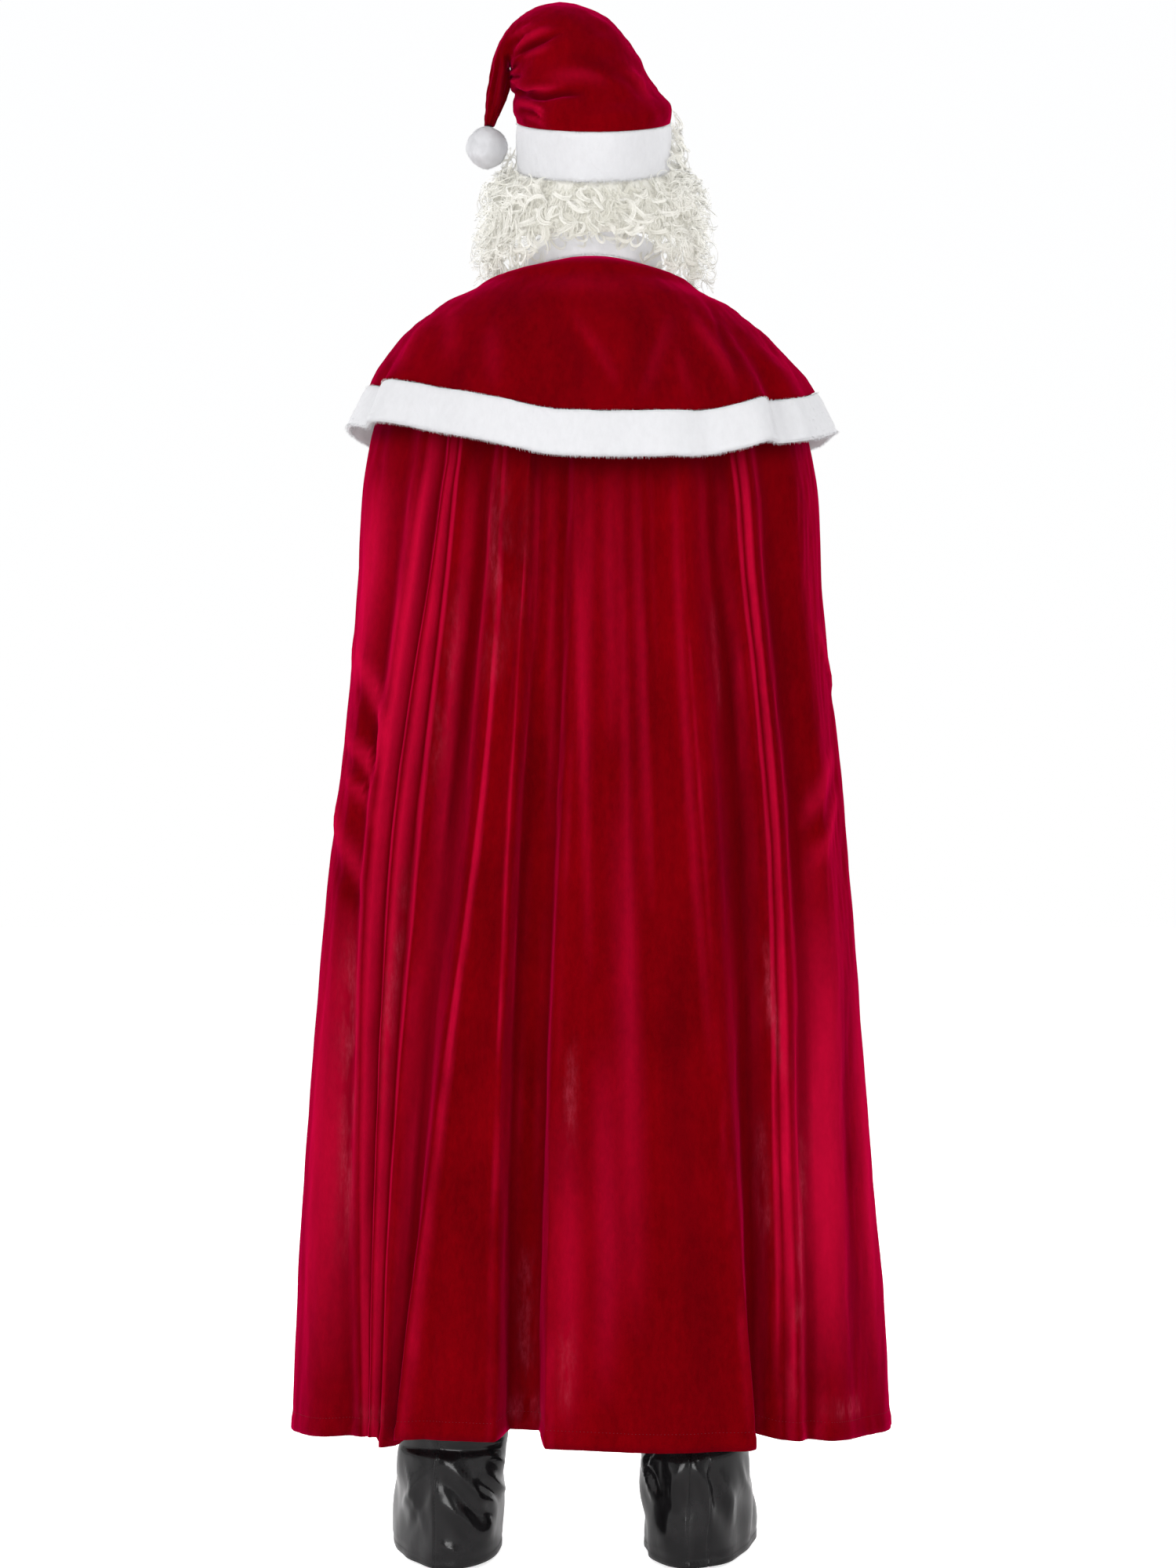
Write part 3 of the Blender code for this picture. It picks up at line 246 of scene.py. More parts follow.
CAPELET_FOLDS = (
    # angle of the fold line, height of the hem there, how far it stands out at the hem (mm)
    (147, 1.37, 0), (128, 1.372, 5), (112, 1.378, -2), (98, 1.388, 2),
    (86, 1.392, 0), (76, 1.39, -3), (68.5, 1.386, -6), (63, 1.39, 7),
    (50, 1.385, 3), (40, 1.376, -2), (30, 1.368, 2), (20, 1.358, 1),
    (11, 1.348, -4), (2, 1.344, 2), (-9, 1.344, -2), (-18, 1.345, 3),
    (-28, 1.347, -3), (-37, 1.356, 5), (-44.5, 1.365, 8), (-49, 1.364, -6),
    (-58, 1.368, 4), (-70, 1.375, -2), (-82, 1.383, 1), (-94, 1.386, 0),
    (-110, 1.378, 3), (-128, 1.372, -3), (-147, 1.37, 0),
)
CAPELET_EDGE = 147.0
TRIM_HEIGHT = 0.056
TRIM_PILE = 0.01
TRIM_LEAN_BACK = 12.0
TRIM_LEAN_SIDE = 27.0
CAPELET_CREASES = (
    # width, rise (mm), then angle, share of the way down of each point
    (9, 2.6, 66, 0.4, 61, 0.62, 56, 0.95),
    (11, 1.8, 60, 0.25, 45, 0.55, 38, 0.83),
    (12, -2.4, 14, 0.3, 4, 0.62, -3, 0.93),
    (8, 1.6, 8, 0.36, -1.5, 0.64, -8, 0.92),
    (10, -2, -20, 0.34, -12.5, 0.64, -7, 0.93),
    (9, 1.6, -27, 0.38, -17, 0.66, -11, 0.95),
    (8, 3.2, -34, 0.38, -36.5, 0.66, -37.5, 0.93),
    (7, -3.2, -50, 0.27, -41.5, 0.6, -39.5, 0.92),
    (6, 1.3, -24, 0.61, -23, 0.76, -24, 0.93),
    (8, 1.8, -76, 0.5, -72, 0.7, -62, 0.9),
    (8, -1.6, 2, 0.64, 4, 0.81, 3, 0.96),
    (12, 1.2, 22, 0.24, 3, 0.21, -16, 0.24),
    (10, -1.8, 84, 0.45, 76, 0.7, 69, 0.95),
    (10, 1.6, 30, 0.5, 26, 0.75, 24, 0.95),
    (12, 2, 120, 0.3, 112, 0.6, 106, 0.92),
    (10, -1.8, 128, 0.45, 121, 0.7, 118, 0.95),
    (12, 2, -118, 0.35, -112, 0.62, -108, 0.92),
    (10, -1.8, -130, 0.4, -123, 0.7, -119, 0.95),
)
COLLAR_HEIGHT = 0.034
COLLAR_PILE = 0.012
COLLAR_HALF_WIDTH = 0.085
COLLAR_HALF_DEPTH = 0.081
COLLAR_GLOW = 0.45           # stronger painted glow, an emission that lifts the shade under the wig
COLLAR_OPENING = 14.0


# ---- Hat and wig ----
HAT_SEAT = Vector((-0.002, -0.005, 1.651))
HEAD_TILT = 18.0
BAND_HEIGHT = 0.059
BAND_PILE = 0.013
BAND_HALF_WIDTH = 0.0935
BAND_HALF_DEPTH = 0.1155
CROWN_RINGS = (
    # x, y, height of the middle, half-width, half-depth, lean to the left, tilt back, tuck
    (-0.002, 0.0134, 1.7062, 0.0915, 0.1125, 0, 18, 0),
    (-0.001, 0.015, 1.722, 0.0944, 0.112, 2, 17, 0),
    (0.008, 0.017, 1.736, 0.0865, 0.105, 4.7, 15, 0.002),
    (0.015, 0.019, 1.75, 0.08, 0.098, 9, 12, 0.01),
    (0.0215, 0.02, 1.764, 0.0766, 0.091, 16, 9, 0),
    (0.032, 0.02, 1.781, 0.072, 0.083, 26, 6, 0),
    (0.048, 0.02, 1.795, 0.064, 0.072, 39, 3, 0.003),
    (0.0685, 0.02, 1.8022, 0.0514, 0.058, 54.7, 0, 0),
    (0.089, 0.021, 1.799, 0.033, 0.04, 76, 0, 0.003),
    (0.1028, 0.023, 1.786, 0.017, 0.023, 106, 0, 0),
    (0.1079, 0.026, 1.758, 0.0138, 0.016, 155, 0, 0),
    (0.1135, 0.027, 1.731, 0.0118, 0.013, 165, 0, 0),
    (0.1222, 0.024, 1.699, 0.0058, 0.007, 174, 0, 0),
)
TUCK_ANGLE = 45.0
BOBBLE_RADIUS = 0.0255
HAT_WALL_SHARE = 0.7         # the hat's velvet is thinner than the cloak's
CROWN_CREASES = (
    # width, rise (mm), then angle, ring counted from the band of each point
    (5, 2.8, 36, 7.6, 22, 7, 8, 6.6, -6, 6.2),
    (3.5, -3.6, 46, 7.5, 34, 6.6, 20, 6.25, 8, 6, -4, 5.8),
    (4, 1.8, 42, 6.3, 27, 5.75, 12, 5.45),
    (4.5, -5.4, 84, 3.52, 66, 2.86, 48, 2.51, 33, 2.46, 18, 2.51, 3, 2.46, 1, 2.2),
    (6, 3.4, 72, 4.1, 54, 3.25, 36, 2.86, 21, 2.82),
    (5, 3.2, 72, 1.96, 51, 1.76, 41, 1.36, 37, 0.6),
    (4, -3, 66, 1.5, 49, 1.3, 39, 0.6),
    (4, 2.2, 57, 0.95, 45, 0.75, 36, 0.2),
    (5, 1.8, 5, 8.4, 2, 7.6, -3, 6.9),
    (5, -1.6, 15, 9, 16, 8.03, 9, 7.18),
    (3, -2.8, 80, 7.6, 66, 6.6, 51, 6.18),
    (3, 2, 84, 7, 69, 6.1, 57, 5.7),
    (3, -2.8, 86, 6.33, 70, 5.4, 56, 4.9),
    (3, 2, 84, 5.7, 70, 4.8, 58, 4.4),
    (3, -1.6, -18, 9.3, -24, 10.24, -14, 11.05, -18, 11.75),
    (3, -1.6, 36, 9.1, 45, 10.04, 56, 10.9, 66, 11.65),
    (3, 1.2, 10, 9.3, 12, 10.2, 16, 11.6),
    (9, 2, -45, 3.4, -54, 2.6, -51, 1.5),
    (9, 1.4, 30, 3.7, 0, 3.5, -25, 2.9),
    (10, -1.4, 6, 4.82, -18, 3.92, -39, 2.66),
    (8, 2.2, -110, 1.4, -140, 2.1, -170, 2.3),
    (8, -2.2, -120, 2.3, -150, 3, 170, 3.1),
    (7, 2.2, 150, 1.2, 120, 1.6, 98, 2.6),
    (7, -2.4, 165, 3.6, 130, 3.9, 100, 4.6),
    (6, 1.8, -160, 5.2, 160, 5.8, 120, 6.6),
)
WIG_ROWS = (
    # up from the band's lower edge, half-width, half-depth, tilt
    (0.132, 0.02, 0.024, 18),
    (0.12, 0.048, 0.058, 18),
    (0.095, 0.067, 0.083, 18),
    (0.062, 0.076, 0.096, 18),
    (0.03, 0.0784, 0.0998, 18),
    (-0.0009, 0.0985, 0.1175, 18),
    (-0.02, 0.118, 0.13, 16),
    (-0.045, 0.128, 0.135, 10),
    (-0.07, 0.132, 0.133, 5),
    (-0.088, 0.133, 0.125, 2),
    (-0.101, 0.129, 0.0903, 0),
)
CURL_ROW = 5                 # the curls start at this row, under the band
CURL_FLOOR = 0.0122          # the strands lie no deeper than this, on the backing
CAP_INSETS = (0.003, 0.016, 0.014)   # the cap's depth above, at and below the band's foot
WIG_HEM = (
    # angle, height of the lowest curls
    (0, 1.551), (22, 1.548), (36, 1.53), (52, 1.519), (180, 1.516),
)
FACE_OPENING = 66.0
TEMPLE_LOCKS = (
    # angle, start and end of the fall
    (-68, -0.3, 0.25), (-76, -0.52, 0.2), (-84, -0.62, 0.15), (-92, -0.58, 0.22),
    (-99, -0.5, 0.3), (-106, -0.4, 0.35), (-80, -0.35, 0.4), (-95, -0.3, 0.45),
    (72, -0.12, 0.35), (82, -0.22, 0.3), (92, -0.26, 0.3), (101, -0.24, 0.35),
)


# ---- Jacket, belt, trousers and boot covers ----
JACKET_SECTIONS = (
    # height, half-width, half-depth, drop of the front
    (1.5295, 0.075, 0.071, 0.045),
    (1.486, 0.105, 0.084, 0.026),
    (1.464, 0.14, 0.096, 0.014),
    (1.44, 0.165, 0.104, 0.005),
    (1.415, 0.174, 0.108, 0),
    (1.365, 0.177, 0.113, 0),
    (1.305, 0.177, 0.117, 0),
    (1.25, 0.174, 0.12, 0),
    (1.15, 0.164, 0.119, 0),
    (1.07, 0.158, 0.116, 0),
    (1.01, 0.158, 0.116, 0),
    (0.94, 0.164, 0.123, 0),
    (0.87, 0.167, 0.132, 0),
    (0.8, 0.182, 0.142, 0),
)
JACKET_CREASES = (
    # width, rise (mm), then angle, height (mm) of each point
    (10, 2.4, 160, 1200, 150, 1120, 146, 1070),
    (9, -2.2, 152, 1180, 142, 1120, 138, 1070),
    (10, 2.4, -160, 1210, -149, 1130, -144, 1070),
    (9, -2.2, -151, 1190, -140, 1120, -136, 1070),
    (11, 3, 165, 1005, 160, 940, 157, 860),
    (10, -2.6, 152, 1005, 147, 930, 144, 840),
    (11, 2.8, 138, 1005, 134, 920, 132, 830),
    (11, 3, -164, 1005, -158, 930, -156, 850),
    (10, -2.6, -150, 1005, -146, 930, -142, 840),
    (11, 2.8, -136, 1005, -132, 920, -131, 830),
    (10, 2, 140, 1360, 152, 1320, 163, 1300),
    (9, -1.8, 138, 1320, 150, 1285, 162, 1270),
    (10, 2, -140, 1350, -152, 1310, -163, 1290),
    (9, -1.8, -139, 1310, -151, 1270, -162, 1255),
    (12, 2.4, 120, 1005, 118, 920, 117, 830),
    (12, 2.4, -120, 1005, -118, 920, -117, 830),
    (12, 2.2, 40, 1005, 42, 920, 43, 830),
    (12, 2.2, 0, 1005, 2, 920, 0, 830),
    (12, 2.2, -40, 1005, -42, 920, -44, 830),
    (12, -2, 20, 1240, 12, 1150, 14, 1075),
    (12, -2, -22, 1240, -14, 1150, -12, 1075),
)
PANEL_STEP = 15.0            # angle between the columns of a panel's cage
PANEL_SEAM = 0.00045         # each panel stops this far from a seam
ARMHOLE_TOP_ROW = 4
ARMHOLE_FOOT_ROW = 7
ARMHOLE_STEPS = 2            # columns to each side of the arm
SLEEVE_RINGS = (
    # x, y, height of the middle, half-height, half-depth, how far the arm has turned down
    (0.192, 0, 1.332, 0.083, 0.07, 7),
    (0.206, 0, 1.306, 0.073, 0.064, 18),
    (0.214, 0.002, 1.248, 0.054, 0.058, 40),
    (0.219, 0.006, 1.155, 0.046, 0.052, 72),
    (0.222, 0.01, 1.09, 0.048, 0.053, 86),
    (0.2235, 0.002, 1, 0.045, 0.049, 89),
    (0.224, -0.008, 0.915, 0.046, 0.049, 89),
)
ELBOW_HEIGHT = 1.12
CUFF_HEIGHT = 0.06
CUFF_PILE = 0.012
CUFF_HALF_WIDTH = 0.054
HEM_TRIM_HEIGHT = 0.06
FRONT_TRIM_HALF_WIDTH = 0.026
FRONT_TRIM_TOP_ROW = 2
FRONT_PILE = 0.009
BELT_TOP = 1.065
BELT_FOOT = 1.015
BELT_LIFT = 0.0006
BELT_BUMP = 0.0104
BELT_SEAM = 0.005            # its stitches run this far in from the edges
BELT_STITCH = (0.0045, 0.003, 0.00035)   # spacing, length and radius
BELT_THICKNESS = 0.003
HIP_SECTIONS = (
    # height, half-width, half-depth
    (1.062, 0.154, 0.112),
    (1.01, 0.154, 0.112),
    (0.93, 0.158, 0.118),
    (0.86, 0.16, 0.123),
    (0.805, 0.161, 0.12),
)
LEG_SECTIONS = (
    # height, half-width, half-depth
    (0.76, 0.073, 0.1),
    (0.65, 0.072, 0.09),
    (0.54, 0.069, 0.08),
    (0.465, 0.0608, 0.0662),
    (0.43, 0.0608, 0.0662),
    (0.385, 0.0588, 0.0612),
)
HIP_HEIGHT = 0.8             # the legs spread from here to the ankles
HIP_CENTRE = 0.088
KNEE_HEIGHT = 0.52
ANKLE_HEIGHT = 0.1
ANKLE_CENTRE = {"left": 0.17, "right": 0.1245}
RISE_GAP = 0.0005            # half of the space between the halves
RISE_DIP = 0.03
OUTER_ANGLES = [180 * k / 10 for k in range(11)]     # columns round the outside of a leg
INNER_SHARES = [k / 6 for k in range(1, 6)]          # and back along the inside
RISE_DEPTH = 0.97
BOOT_SECTIONS = (
    # height, half-width, half-depth, middle
    (0.44, 0.0642, 0.0702, 0),
    (0.36, 0.062, 0.066, 0.002),
    (0.26, 0.06, 0.0625, 0.01),
    (0.17, 0.061, 0.063, 0.018),
    (0.13, 0.064, 0.069, 0.02),
    (0.1, 0.065, 0.083, 0.009),
    (0.07, 0.0655, 0.107, -0.014),
    (0.04, 0.065, 0.129, -0.034),
    (0.004, 0.0655, 0.143, -0.047),
)
BOOT_WALL = 0.0014
BOOT_STITCH = (0.004, 0.0026)    # spacing and length
BOOT_HEM = 0.012             # its stitches run at this height
BOOT_ANKLE = 0.142           # the shaft is gathered here
BOOT_TURN = {"left": 6, "right": -9}
BOOT_SEAM = {"left": 18.5, "right": -1.5}
BOOT_PANELS = {"left": (18.5, 176), "right": (-1.5, -23, 178)}
BOOT_CREASES = {
    # width, rise (mm), then angle from the heel over the left side, height (mm)
    "left": (
        (9, 2.6, 20, 420, 20, 250, 20, 120, 20, 4),
        (3, -1.6, 17, 410, 17, 250, 17, 120, 17, 10),
        (8, 3.2, 15, 132, -5, 112, -28, 84, -55, 70),
        (7, -3, 14, 110, -4, 92, -26, 66, -50, 54),
        (8, 3, 15, 84, -4, 66, -24, 44, -46, 34),
        (4, 2.2, -30, 134, -50, 126, -72, 112),
        (3, 1.5, 14, 34, 4, 26, -12, 18),
        (4, 1.8, 62, 124, 48, 100, 34, 60, 28, 30),
        (5, -2.4, 85, 136, 30, 140, -30, 139, -80, 132),
        (6, 2.6, 60, 150, 10, 153, -40, 150, -85, 147),
        (7, 3.4, -25, 118, -42, 105, -60, 85, -82, 74),
        (6, -2.8, -28, 104, -45, 90, -64, 70),
        (6, 2.8, -14, 92, -30, 70, -44, 42),
        (6, 2.4, 28, 120, 44, 88, 66, 60),
        (5, -2, 20, 104, 36, 70, 50, 36),
        (6, 2.2, 95, 110, 115, 96, 140, 80),
        (6, -2.2, -95, 100, -118, 88, -142, 74),
        (7, 2.6, 150, 126, 180, 118),
        (7, 2.2, 40, 250, 0, 235, -35, 255),
        (7, -2, 100, 220, 140, 200, 178, 215),
        (7, 2.2, -100, 300, -140, 280, -178, 290),
    ),
    "right": (
        (9, 2.2, 18, 420, 18, 250, 17, 120, 17, 4),
        (3, -1.6, 1, 410, 1, 250, 0, 120, -5, 10),
        (3, 1.8, 38, 132, 44, 122, 52, 112),
        (3, -1.6, 44, 134, 50, 126, 58, 116),
        (3, 1.8, 50, 136, 56, 128, 64, 118),
        (6, 3.6, -8, 128, -20, 96, -24, 50),
        (6, -3.2, -18, 126, -30, 100, -34, 60),
        (5, 3, 8, 124, 14, 96, 10, 64),
        (4, 1.4, 36, 136, 33, 100, 31, 60),
        (5, -2.4, 85, 130, 30, 134, -30, 140, -80, 141),
        (6, 2.4, 70, 146, 10, 150, -40, 155, -85, 155),
        (6, 2.8, 72, 122, 52, 100, 40, 70),
        (5, -2.2, 60, 126, 44, 104, 30, 80),
        (6, 2.6, -30, 116, -46, 80, -52, 40),
        (6, -2, -22, 110, -36, 76, -42, 40),
        (6, 2, -64, 124, -72, 90, -88, 66),
        (6, 2.2, 95, 110, 118, 94, 142, 78),
        (6, -2.2, -98, 106, -120, 90, -144, 78),
        (7, 2.6, 150, 122, 180, 116),
        (7, 2.2, 45, 270, 0, 250, -30, 262),
        (7, -2, 100, 240, 140, 220, 178, 230),
        (7, 2.2, -100, 320, -140, 300, -178, 312),
    ),
}


# ---- Reading the tables ----
def look_of(part):
    """The scene's settings for one finish of the suit."""
    return getattr(bpy.context.scene, "santa_suit_" + part)


def smooth_read(keys, values, at):
    """Cubic reading of a short table at one place or many, held at its ends."""
    order = np.argsort(keys)
    keys = np.asarray(keys, float)[order]
    values = np.asarray(values, float)[order]
    at = np.clip(np.asarray(at, float), keys[0], keys[-1])
    slopes = np.gradient(values, keys)
    index = np.clip(np.searchsorted(keys, at) - 1, 0, len(keys) - 2)
    step = keys[index + 1] - keys[index]
    t = (at - keys[index]) / step
    return ((2 * t ** 3 - 3 * t ** 2 + 1) * values[index]
            + (t ** 3 - 2 * t ** 2 + t) * step * slopes[index]
            + (3 * t ** 2 - 2 * t ** 3) * values[index + 1]
            + (t ** 3 - t ** 2) * step * slopes[index + 1])


def read_table(table, at, keys=None):
    """A table's columns read at some keys, which are its first column if none are given."""
    columns = np.array(table, float).T
    if keys is None:
        keys, *columns = columns
    return [smooth_read(keys, column, at) for column in columns]


def smoothstep(t):
    t = np.clip(t, 0.0, 1.0)
    return t * t * (3 - 2 * t)


def front_share(angle):
    """0 at the middle of the back, 1 at the middle of the front."""
    return (1 - np.cos(np.radians(angle))) / 2


def unit(vectors):
    """The vectors, (..., 3), each made 1 long."""
    return vectors / np.maximum(np.linalg.norm(vectors, axis=-1, keepdims=True), 1e-12)


def oval(angle, left, right, back, front, out=0.0):
    """Points and outward directions on oval sections, as (..., 3) arrays at height 0."""
    turn = np.radians(np.asarray(angle, float))
    width = np.where(np.sin(turn) >= 0, left, right)
    depth = np.where(np.cos(turn) >= 0, back, front)
    flat = np.zeros_like(width)
    outward = unit(np.stack((np.sin(turn) / width, np.cos(turn) / depth, flat), axis=-1))
    foot = np.stack((width * np.sin(turn), depth * np.cos(turn), flat), axis=-1)
    return foot + outward * np.asarray(out)[..., None], outward


def even_oval(angle, half_width, half_depth, out=0.0):
    return oval(angle, half_width, half_width, half_depth, half_depth, out)


def at_height(points, height):
    """The points moved to heights above the floor."""
    points = points.copy()
    points[..., 2] = height - NECK_HEIGHT
    return points


def turned_about_x(points, degrees):
    """Points of (..., 3) tipped back by an angle: +Z leans towards -Y for a negative one."""
    turn = np.array(Matrix.Rotation(math.radians(degrees), 3, "X"))
    return points @ turn.T


def wobble(points, size, seed, waves=14):
    """Soft unevenness from -1 to 1 or so, with bumps of about the given size."""
    draw = np.random.default_rng(seed)
    heading = unit(draw.normal(size=(waves, 3)))
    heading *= (2 * math.pi / np.asarray(size, float)) * draw.uniform(0.6, 1.5, (waves, 1))
    start = draw.uniform(0, 2 * math.pi, waves)
    return np.sin(points @ heading.T + start).sum(axis=-1) / math.sqrt(waves)


# ---- Cloth surfaces ----
def run_along(path):
    """The length run from a path's start to each of its points."""
    gaps = np.linalg.norm(np.diff(path, axis=0), axis=1)
    return np.concatenate(([0.0], np.cumsum(gaps)))


def read_along(values, run, at):
    """The vectors given along a run, read at other places on it."""
    return np.stack([np.interp(at, run, values[:, k]) for k in range(3)], axis=-1)


def grid_normals(grid, closed=False):
    """Outward directions of a grid whose rows run down and columns round the back."""
    across = (np.roll(grid, -1, axis=1) - np.roll(grid, 1, axis=1) if closed
              else np.gradient(grid, axis=1))
    return unit(np.cross(across, np.gradient(grid, axis=0)))


def pushed(grid, push, closed=False):
    """The grid with each point moved out along its normal by one of the distances."""
    return grid + grid_normals(grid, closed) * push.reshape(*grid.shape[:2], 1)


def grid_faces(rows, columns, closed=False):
    """Quads between the points of a grid, as four indices each."""
    corner = np.arange(rows * columns).reshape(rows, columns)
    left = corner if closed else corner[:, :-1]
    right = np.roll(corner, -1, axis=1) if closed else corner[:, 1:]
    return np.stack((left[:-1], right[:-1], right[1:], left[1:]), axis=-1).reshape(-1, 4)


def new_mesh(name, points, faces):
    mesh = bpy.data.meshes.new(name)
    mesh.from_pydata(points.tolist(), [], faces)
    mesh.shade_smooth()
    return mesh


def grid_mesh(name, grid, closed=False):
    """A mesh of quads through a grid of points."""
    faces = grid_faces(*grid.shape[:2], closed)
    return new_mesh(name, grid.reshape(-1, 3), faces.tolist())


def crease_paths(creases, surface, step=1.0, steps=14):
    """Creases in a surface's own measures, as runs of points in space.

    The table counts the second measure in the given step.
    """
    paths = []
    for width, rise, *line in creases:
        line = np.reshape(line, (-1, 2)).astype(float)
        line[:, 0] = np.degrees(np.unwrap(np.radians(line[:, 0])))
        knots = np.arange(len(line))
        at = np.linspace(0, len(line) - 1, steps)
        angle, along = (np.interp(at, knots, line[:, k]) for k in (0, 1))
        paths.append((width * MM, rise * MM, surface(angle, along * step)))
    return paths


def relief(points, paths):
    """How far each point is pushed out by soft creases that fade at both ends."""
    total = np.zeros(len(points))
    for width, rise, path in paths:
        reach = 2.6 * width
        near = np.all((points > path.min(axis=0) - reach)
                      & (points < path.max(axis=0) + reach), axis=1)
        if not near.any():
            continue
        spots = points[near]
        run = run_along(path)
        best = np.full(len(spots), 1e9)
        along = np.zeros(len(spots))
        for k, length in enumerate(np.diff(run)):
            heading = (path[k + 1] - path[k]) / max(length, 1e-9)
            share = np.clip((spots - path[k]) @ heading, 0, length)
            gap = np.sum((spots - path[k] - share[:, None] * heading) ** 2, axis=1)
            closer = gap < best
            best[closer] = gap[closer]
            along[closer] = run[k] + share[closer]
        fade = np.sin(math.pi * np.clip(along / run[-1], 0.02, 0.98)) ** 0.7
        total[near] += rise * fade * np.exp(-best / width ** 2)
    return total


def made_shape(name, make, place, **sizes):
    """A mesh from one of Blender's own makers of simple shapes, moved into place."""
    shape = bmesh.new()
    make(shape, **sizes)
    bmesh.ops.translate(shape, verts=shape.verts, vec=place)
    mesh = bpy.data.meshes.new(name)
    shape.to_mesh(mesh)
    shape.free()
    mesh.shade_smooth()
    return mesh


def new_object(name, data):
    """An object that holds the data and is linked to the scene."""
    thing = bpy.data.objects.new(name, data)
    bpy.context.scene.collection.objects.link(thing)
    return thing


def cloth_surface(name, rows, levels, closed=False, missing=None, cap=False):
    """A smooth open surface grown from a coarse cage of rows, for the plainer pieces."""
    cage = bmesh.new()
    grid = [[cage.verts.new(point) for point in row] for row in rows]
    columns = len(rows[0])
    for r in range(len(rows) - 1):
        for c in range(columns if closed else columns - 1):
            if missing and missing(r, c):
                continue
            d = (c + 1) % columns
            cage.faces.new((grid[r][c], grid[r][d], grid[r + 1][d], grid[r + 1][c]))
    if cap:
        cage.faces.new(list(reversed(grid[0])))
    loose = [vertex for vertex in cage.verts if not vertex.link_faces]
    bmesh.ops.delete(cage, geom=loose, context="VERTS")
    mesh = bpy.data.meshes.new(name + "_cage")
    cage.to_mesh(mesh)
    cage.free()
    holder = new_object(name + "_cage", mesh)
    smooth = holder.modifiers.new("smooth", "SUBSURF")
    smooth.levels = smooth.render_levels = levels
    smooth.boundary_smooth = "PRESERVE_CORNERS"
    evaluated = holder.evaluated_get(bpy.context.evaluated_depsgraph_get())
    surface = bpy.data.meshes.new_from_object(evaluated)
    surface.name = name
    bpy.data.objects.remove(holder)
    bpy.data.meshes.remove(mesh)
    surface.shade_smooth()
    return surface


def read_vectors(items, field):
    values = np.empty(len(items) * 3)
    items.foreach_get(field, values)
    return values.reshape(-1, 3)


def vertex_array(mesh):
    return read_vectors(mesh.vertices, "co")


def push_out(mesh, distance):
    """Move a mesh's points along their normals by an array of distances."""
    points = vertex_array(mesh)
    points += read_vectors(mesh.vertex_normals, "vector") * distance[:, None]
    mesh.vertices.foreach_set("co", points.reshape(-1))
    mesh.update()


def smoothed_rows(grid, reach, closed):
    """The grid with each row averaged over its neighbours."""
    weights = np.hanning(2 * reach + 3)[1:-1]
    padded = np.pad(grid, ((0, 0), (reach, reach), (0, 0)),
                    mode="wrap" if closed else "edge")
    count = grid.shape[1]
    total = sum(weight * padded[:, k:k + count] for k, weight in enumerate(weights))
    return total / weights.sum()


def fold_light_shares(grid, closed, reach, depth):
    """How deep each point lies in a fold, for painted shade, and how steep the flank of its
    fold is, for painted sheen.
    """
    calm = smoothed_rows(grid, reach, closed)
    normals = grid_normals(grid, closed)
    sunk = np.einsum("ijk,ijk->ij", calm - grid, normals)
    steep = 1 - np.einsum("ijk,ijk->ij", normals, grid_normals(calm, closed))
    hollow = smoothstep((sunk - depth * 0.1) / depth)
    flank = smoothstep((steep - 0.01) / 0.22) * (1 - hollow)
    return hollow.reshape(-1), flank.reshape(-1)


def store_share(mesh, name, values):
    """A named share for each point, which the cloth's finish reads."""
    layer = mesh.attributes.new(name, "FLOAT", "POINT")
    layer.data.foreach_set("value", np.asarray(values, np.float32))


# ---- Placing pieces ----
def add_piece(mesh, finish, slot, *nodes):
    """Link a mesh, under its own name, as a piece that rides on the suit."""
    mesh.materials.clear()
    mesh.materials.append(finish)
    piece = new_object(mesh.name, mesh)
    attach(piece, BODY)
    if nodes:
        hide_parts(*nodes)
    return piece


def thicken(piece, wall):
    """Give an open cloth surface its wall, inwards."""
    solid = piece.modifiers.new("wall", "SOLIDIFY")
    solid.thickness = wall
    solid.offset = -1
    solid.use_quality_normals = True
    return piece


def velvet_piece(mesh, node, share=1.0, **wear_and_painted_light):
    """A velvet piece with a share of the usual thickness, and the shares of wear, painted
    shade and painted sheen at its points.
    """
    for name, values in wear_and_painted_light.items():
        store_share(mesh, name, values)
    piece = add_piece(mesh, finish_velvet("velvet_nap"), "velvet", node)
    return thicken(piece, look_of("velvet").wall * share)


STITCH_FACES = ((0, 1, 2), (5, 2, 1), (0, 2, 3), (5, 3, 2), (0, 3, 4), (5, 4, 3), (0, 4, 1),
                (5, 1, 4))
def lay_stitches(name, path, normals, finish, slot, spacing, length, radius=0.00032):
    """Small thread stitches along a path, each a slim spindle lying on the cloth."""
    run = run_along(path)
    places = np.arange(spacing / 2, run[-1] - length, spacing)
    back, ahead = read_along(path, run, places), read_along(path, run, places + length)
    lift = read_along(normals, run, places) * radius
    side = unit(np.cross(ahead - back, lift)) * radius
    middle = (back + ahead) / 2 + lift * 0.6
    points = np.stack((back - lift * 0.6, middle + lift, middle + side, middle - lift,
                       middle - side, ahead - lift * 0.6), axis=1).reshape(-1, 3)
    faces = (np.arange(len(places))[:, None, None] * 6 + STITCH_FACES).reshape(-1, 3)
    return add_piece(new_mesh(name, points, faces.tolist()), finish, slot)


# ---- Plush: a soft base with short pile standing on it ----
WELD = 1e-6                  # points of a mesh that are closer than this become one
PLUSH_GLOW = 0.18            # painted glow, an emission that lifts the shade in the pile
PLUSH_UNEVEN = 0.0004        # height of the soft bumps in a band's base
TUFT = 0.004                 # size of the tufts that the pile gathers into
FRINGE_TUFT = 0.003
CLUMP = 0.15                 # share of the way that tips lean to the middle of their tuft


